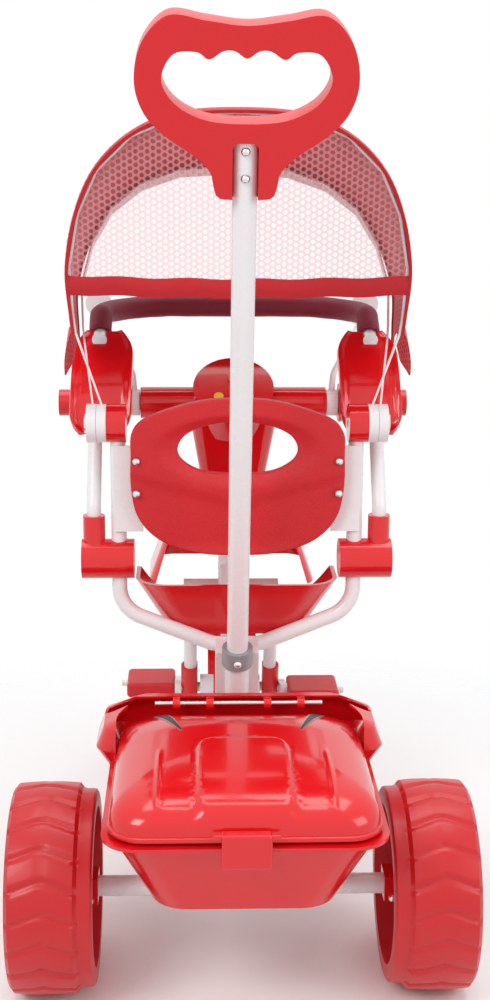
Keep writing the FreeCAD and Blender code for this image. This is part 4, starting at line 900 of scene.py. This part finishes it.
@dataclass
class Canopy:
    """The mesh hood over its two bows, with a net window at the back."""

    crown: float = 319 * MM
    half: float = 172 * MM
    skirt: float = 96 * MM
    rear: float = -10.0
    front: float = 37.0
    cloth_thickness: float = 1.4 * MM
    tape_thickness: float = 3.4 * MM
    trim_thickness: float = 2.4 * MM
    sag: float = 5.5 * MM
    tail_drop: float = 44 * MM
    shape: tuple = ((0.975, 0.30), (0.985, 0.36), (1.0, 0.51), (0.94, 0.68), (0.82, 0.82),
                    (0.62, 0.925), (0.36, 0.985), (0.0, 1.0))

    def __post_init__(self) -> None:
        """Lay out the hood's outline once, from the left skirt to the right."""
        hub_low, hub_high = (Vector(corner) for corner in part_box("canopy_hub_pins"))
        self.hub = Vector((0, (hub_low.y + hub_high.y) / 2, (hub_low.z + hub_high.z) / 2))
        left = [Vector((-x * self.half, 0, r * self.crown)) for x, r in self.shape]
        points = left + [Vector((-spot.x, 0, spot.z)) for spot in reversed(left[:-1])]
        self.line = smooth_path(points, 8)
        self.lengths = [0.0]
        for a, b in zip(self.line, self.line[1:]):
            self.lengths.append(self.lengths[-1] + (b - a).length)

    def outline(self, share: float) -> tuple[float, float]:
        """The outline's (across, radius) at a share of its length."""
        goal = share * self.lengths[-1]
        k = 0
        while k < len(self.lengths) - 2 and self.lengths[k + 1] < goal:
            k += 1
        part = (goal - self.lengths[k]) / (self.lengths[k + 1] - self.lengths[k])
        spot = self.line[k].lerp(self.line[k + 1], min(max(part, 0), 1))
        return spot.x, spot.z

    def spot(self, across: float, radius: float, angle: float) -> Vector:
        """A point at a distance from the hub line, turned forward by an angle in degrees."""
        turn = math.radians(angle)
        return self.hub + Vector((across, radius * math.sin(turn), radius * math.cos(turn)))

    def cloth(self) -> bpy.types.Object:
        """Model the hood's sheet, sagging a little between its bows."""
        def surface(u: float, v: float) -> Vector:
            """A spot of the hood, u from left to right and v from rear to front."""
            x, r = self.outline(u)
            angle = self.rear + (self.front - self.rear) * v
            bay = math.sin(math.pi * v)
            pucker = noise.noise(Vector((u * 9, v * 4, 3.1))) * 1.6 * MM * (0.3 + bay)
            sag = self.sag * bay
            scallop = 1.2 * MM * math.sin(u * 52) * math.sin(math.pi * v) ** 8
            share = 1 - (sag - pucker + scallop) / self.crown
            return self.spot(x * (1 + (share - 1) * 0.4), r * share, angle)

        def measure(u: float, v: float) -> tuple[float, float]:
            """The cloth's own coordinates there."""
            return (u * self.lengths[-1], v * math.radians(self.front - self.rear) * self.crown)

        cloth = shaped_grid("hood_cloth", 120, 40, surface, measure)
        apply_modifier(cloth, "SOLIDIFY", thickness=self.cloth_thickness, offset=-1.0)
        smooth(cloth, 60)
        dress(cloth, HOOD_MESH, "red_cloth", "", "canopy_rear_cloth", "canopy_front_cloth")
        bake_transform(cloth)
        return cloth

    def binding(self, name: str, angle: float, wide: float, body: str) -> bpy.types.Object:
        """Model the folded tape sewn along one edge of the hood.

        Args:
            name: the piece's name.
            angle: where the edge is, in degrees.
            wide: the tape's width.
            body: the body that it rides on.
        Returns:
            The tape.
        """
        turn = math.degrees(wide / self.crown)

        def surface(u: float, v: float) -> Vector:
            """A spot of the tape, u along it and v across it."""
            x, r = self.outline(u)
            fold = 1.2 * MM * math.sin(math.pi * v)
            stitch = 0.25 * MM * math.sin(u * 620) * math.exp(-((v - 0.5) / 0.1) ** 2)
            grow = 1 + (fold + stitch + 0.5 * MM) / self.crown
            return self.spot(x * grow, r * grow, angle + turn * (v - 0.5))

        tape = shaped_grid(name, 260, 8, surface)
        apply_modifier(tape, "SOLIDIFY", thickness=self.tape_thickness, offset=-1.0)
        smooth(tape, 60)
        dress(tape, HOOD_TRIM, "red_cloth", body)
        return tape

    def window(self) -> tuple[bpy.types.Object, bpy.types.Object]:
        """Model the net in the rear bow and the trim along its foot.

        Returns:
            The net and the trim.
        """
        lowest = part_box("canopy_rear_window")[0][2]
        low = (lowest - self.hub.z) / math.cos(math.radians(self.rear))
        spots = [self.outline(0.5 + 0.5 * k / 200) for k in range(201)]
        above = [(x, r) for x, r in spots if r >= low]
        widest = max(x for x, _ in above) - 2 * MM

        def ceiling(x: float) -> float:
            """How high the net reaches at a place across."""
            return max(r for across, r in above if across >= abs(x) - 2.5 * MM) - 2 * MM

        def net_spot(u: float, v: float) -> Vector:
            """A spot of the net, u from left to right and v upwards."""
            x = (2 * u - 1) * widest
            r = low + (ceiling(x) - low) * v
            bow = 3 * MM * math.sin(math.pi * u) * math.sin(math.pi * v)
            spot = self.spot(x, r, self.rear + 0.4)
            return spot + Vector((0, -bow, 0))

        def net_measure(u: float, v: float) -> tuple[float, float]:
            """The net's own coordinates there."""
            x = (2 * u - 1) * widest
            return x, low + (ceiling(x) - low) * v

        net = shaped_grid("window_net", 96, 40, net_spot, net_measure)
        smooth(net, 60)
        dress(net, WINDOW_NET, "net_cloth", "canopy_rear", "canopy_rear_window")

        def trim_spot(u: float, v: float) -> Vector:
            """A spot of the trim, u from left to right and v upwards."""
            x = (2 * u - 1) * (widest + 1 * MM)
            droop = 3 * MM * math.sin(u * math.pi) + 0.8 * MM * math.sin(u * 31)
            r = low - 12 * MM + 19 * MM * v - droop
            roll = 1.6 * MM * math.sin(math.pi * v)
            return self.spot(x, r, self.rear + 0.4) + Vector((0, -roll - 1 * MM, 0))

        trim = shaped_grid("window_trim", 90, 8, trim_spot)
        apply_modifier(trim, "SOLIDIFY", thickness=self.trim_thickness, offset=0.0)
        smooth(trim, 60)
        dress(trim, HOOD_TRIM, "red_cloth", "canopy_rear")
        return net, trim

    def flap(self, name: str, sign: int) -> bpy.types.Object:
        """Model one loose tail of cloth below the hood's rear corner."""
        start_x, start_r = self.outline(0.0)

        def surface(u: float, v: float) -> Vector:
            """A spot of the tail, u forward and v downwards."""
            angle = self.rear + 24 * u
            drop = (self.tail_drop - 16 * MM * u) * v
            x = (abs(start_x) + 4 * MM * math.sin(2.6 * v + 3 * u) + 5 * MM * v) * sign
            return self.spot(x, start_r + 3 * MM, angle) + Vector((0, -4 * MM * v, -drop))

        tail = shaped_grid(name, 18, 18, surface,
                           lambda u, v: (u * 0.04, v * 0.044))
        apply_modifier(tail, "SOLIDIFY", thickness=self.cloth_thickness, offset=0.0)
        smooth(tail, 60)
        dress(tail, HOOD_MESH, "red_cloth", "canopy_rear")
        return tail

    def build(self) -> None:
        cloth = self.cloth()
        rear_tape = self.binding("rear_binding", self.rear, 15 * MM, "canopy_rear")
        front_tape = self.binding("front_binding", self.front, 12 * MM, "canopy_front")
        net, trim = self.window()
        tails = [self.flap("tail_left", -1), self.flap("tail_right", 1)]
        for k in range(200):
            x, r = self.outline((k + 0.5) / 200)
        tall = max(v.co.z for v in net.data.vertices) - min(v.co.z for v in net.data.vertices)
        tall /= math.cos(math.radians(self.rear))


# --- guard ------------------------------------------------------------------------------------

@dataclass
class Guard:
    """The padded ring and the two curved armrests."""

    ring_half: float = 147 * MM
    bend: float = 72 * MM
    foam_radius: float = 12.3 * MM
    shell_thickness: float = 6 * MM
    shell_rounding: float = 2.2 * MM
    rim_height: float = 5 * MM

    def foam(self) -> None:
        """Model the wrinkled foam sleeve."""
        low, high = (Vector(corner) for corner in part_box("guard_foam"))
        pad = self.foam_radius
        side, front = high.x - pad, high.y - pad
        rise_low, rise_high = low.z + pad, high.z - pad
        start = low.y + 4 * MM
        path = []
        for k in range(12):
            share = k / 12
            path.append(Vector((-side, start + (front - self.bend - start) * share,
                                rise_low + (rise_high - rise_low) * 0.8 * share)))
        for k in range(16):
            turn = math.pi / 2 * k / 16
            path.append(Vector((-side + self.bend * (1 - math.cos(turn)),
                                front - self.bend + self.bend * math.sin(turn),
                                rise_low + (rise_high - rise_low) * (0.8 + 0.2 * k / 16))))
        for k in range(15):
            share = k / 30
            path.append(Vector((-side + self.bend + 2 * (side - self.bend) * share, front, rise_high)))
        path += [Vector((-spot.x, spot.y, spot.z)) for spot in reversed(path)]
        rings = []
        last = len(path) - 1
        for k, spot in enumerate(path):
            way = path[min(k + 1, last)] - path[max(k - 1, 0)]
            if way.length < 1e-9:
                continue
            swell = pad * (1 - 0.04 * noise.noise(spot * 60))
            if k in (0, last):
                swell *= 0.86
            rings.append(ring_about(spot, way, swell, 32, Vector((0, 0, 1))))
        foam = loft("guard_sleeve", rings)
        smooth(foam, 50)
        dress(foam, MAROON_FOAM, "maroon_foam", "guard", "guard_foam")

    def armrest(self, name: str, sign: int) -> None:
        """Model one curved armrest with a rolled rim.

        Args:
            name: the piece's name.
            sign: -1 for the left side and 1 for the right.
        """
        low, high = (Vector(corner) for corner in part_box("armrests"))
        inner, outer = 113 * MM, high.x - 1 * MM
        foot = Vector((0, low.y + 9 * MM, low.z + 4 * MM))
        head = Vector((0, high.y - 3 * MM, high.z - 3 * MM))
        chord = head - foot
        outward = Vector((0, -chord.z, chord.y)).normalized()

        def surface(u: float, v: float) -> Vector:
            """A spot of the armrest, u outward and v upwards."""
            round_off = 1 - 0.42 * max(0.0, (v - 0.72) / 0.28) ** 2.2 \
                - 0.34 * max(0.0, (0.16 - v) / 0.16) ** 2.0
            centre = (inner + outer) / 2 - 3 * MM * v
            x = centre + (u - 0.5) * (outer - inner) * round_off
            bulge = chord.length / 9 * 4 * v * (1 - v)
            rim = self.rim_height * (soft_step(0.34, 0.5, abs(u - 0.5))
                                     + soft_step(0.42, 0.5, abs(v - 0.5)))
            spot = foot + chord * v + outward * (bulge - 2 * MM + rim * 0.6)
            return Vector((x * sign, spot.y, spot.z))

        rest = shaped_grid(name, 28, 36, surface)
        if sign < 0:
            only(rest)
            bpy.ops.object.mode_set(mode="EDIT")
            bpy.ops.mesh.select_all(action="SELECT")
            bpy.ops.mesh.flip_normals()
            bpy.ops.object.mode_set(mode="OBJECT")
        apply_modifier(rest, "SOLIDIFY", thickness=self.shell_thickness, offset=-1.0)
        apply_modifier(rest, "BEVEL", width=self.shell_rounding, segments=4, limit_method="ANGLE",
                       angle_limit=math.radians(50))
        smooth(rest, 45)
        dress(rest, GLOSS_RED, "gloss_red", "guard")
        if sign < 0:
            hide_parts("armrests")

    def build(self) -> None:
        """Model the sleeve and both armrests."""
        self.foam()
        self.armrest("armrest_left", -1)
        self.armrest("armrest_right", 1)


# --- the studio -------------------------------------------------------------------------------

@dataclass
class Studio:
    """The pale floor, the soft lamps and the camera."""

    eye: tuple[float, float, float] = (-45 * MM, -1331.4 * MM, 798.7 * MM)
    yaw: float = 1.9965
    pitch: float = 13.3137
    roll: float = 0.3608
    lens: float = 54.0

    def camera(self, axle_y: float) -> None:
        """Place the camera behind the tricycle, looking a little down."""
        yaw, pitch, roll = (math.radians(a) for a in (self.yaw, self.pitch, self.roll))
        ahead = Vector((math.sin(yaw) * math.cos(pitch), math.cos(yaw) * math.cos(pitch),
                        -math.sin(pitch)))
        right = Vector((math.cos(yaw), -math.sin(yaw), 0))
        up = right.cross(ahead)
        right, up = (math.cos(roll) * right + math.sin(roll) * up,
                     -math.sin(roll) * right + math.cos(roll) * up)
        data = bpy.data.cameras.new("rear view")
        data.lens = self.lens
        data.clip_start = 0.05
        camera = bpy.data.objects.new("rear view", data)
        bpy.context.scene.collection.objects.link(camera)
        turn = Matrix((right, up, -ahead)).transposed()
        camera.matrix_world = Matrix.Translation(Vector(self.eye) + Vector((0, axle_y, 0))) \
            @ turn.to_4x4()
        bpy.context.scene.camera = camera

    def lamp(self, name: str, place: tuple, target: Vector, power: float, size: float) -> None:
        """Add a square soft lamp that faces a target."""
        data = bpy.data.lights.new(name, "AREA")
        data.energy = power
        data.size = size
        lamp = bpy.data.objects.new(name, data)
        bpy.context.scene.collection.objects.link(lamp)
        lamp.location = place
        lamp.rotation_euler = (target - Vector(place)).to_track_quat("-Z", "Y").to_euler()

    def floor(self) -> None:
        """A pale floor that shows white and keeps its shadow."""
        deselect()
        bpy.ops.mesh.primitive_plane_add(size=14, location=(0, 0, -0.4 * MM))
        floor = name_piece("floor")
        material = bpy.data.materials.new("pale floor")
        material.use_nodes = True
        material.node_tree.nodes["Principled BSDF"].inputs["Base Color"].default_value = (
            0.93, 0.93, 0.93, 1)
        material.node_tree.nodes["Principled BSDF"].inputs["Roughness"].default_value = 0.6
        tree = material.node_tree
        place = tree.nodes.new("ShaderNodeTexCoord").outputs["Object"]
        reach = tree.nodes.new("ShaderNodeVectorMath")
        reach.operation = "LENGTH"
        tree.links.new(place, reach.inputs[0])
        fade = tree.nodes.new("ShaderNodeMapRange")
        fade.interpolation_type = "SMOOTHSTEP"
        for label, value in (("From Min", 0.35), ("From Max", 0.85), ("To Min", 1.0),
                             ("To Max", 0.0)):
            fade.inputs[label].default_value = value
        tree.links.new(reach.outputs["Value"], fade.inputs["Value"])
        tree.links.new(fade.outputs["Result"],
                       tree.nodes["Principled BSDF"].inputs["Alpha"])
        floor.data.materials.append(material)

    def world(self, strength: float) -> None:
        """Light everything softly and show white behind it."""
        world = bpy.data.worlds.new("studio") if not bpy.context.scene.world \
            else bpy.context.scene.world
        bpy.context.scene.world = world
        world.use_nodes = True
        tree = world.node_tree
        background = tree.nodes["Background"]
        background.inputs["Color"].default_value = (1, 1, 1, 1)
        rays = tree.nodes.new("ShaderNodeLightPath")
        seen = maths(tree, "MAXIMUM", rays.outputs["Is Camera Ray"],
                     maths(tree, "MAXIMUM", rays.outputs["Is Glossy Ray"],
                           rays.outputs["Is Transmission Ray"]))
        value = maths(tree, "MULTIPLY_ADD", seen, 1.0 - strength, strength)
        tree.links.new(value, background.inputs["Strength"])

    def build(self) -> None:
        """Set the whole studio up."""
        axle = middle("rear_axle_rod")
        self.camera(axle.y)
        target = Vector((0, 0, 0.45))
        self.lamp("key", (-1.3, -1.7, 1.9), target, 26, 1.1)
        self.lamp("fill", (1.7, -1.3, 1.3), target, 16, 1.3)
        self.lamp("top", (0.1, 0.3, 2.4), target, 18, 1.4)
        self.floor()
        self.world(0.62)
        bpy.context.scene.view_settings.view_transform = "Standard"


def main() -> None:
    """Build every assembly in order."""
    dress_frame_nodes()
    for side in ("left", "right"):
        RearWheel(side).build()
    PushHandle().build()
    Backrest().build()
    LuggageBox().build()
    Canopy().build()
    Guard().build()
    Studio().build()


if __name__ == "__main__":
    main()
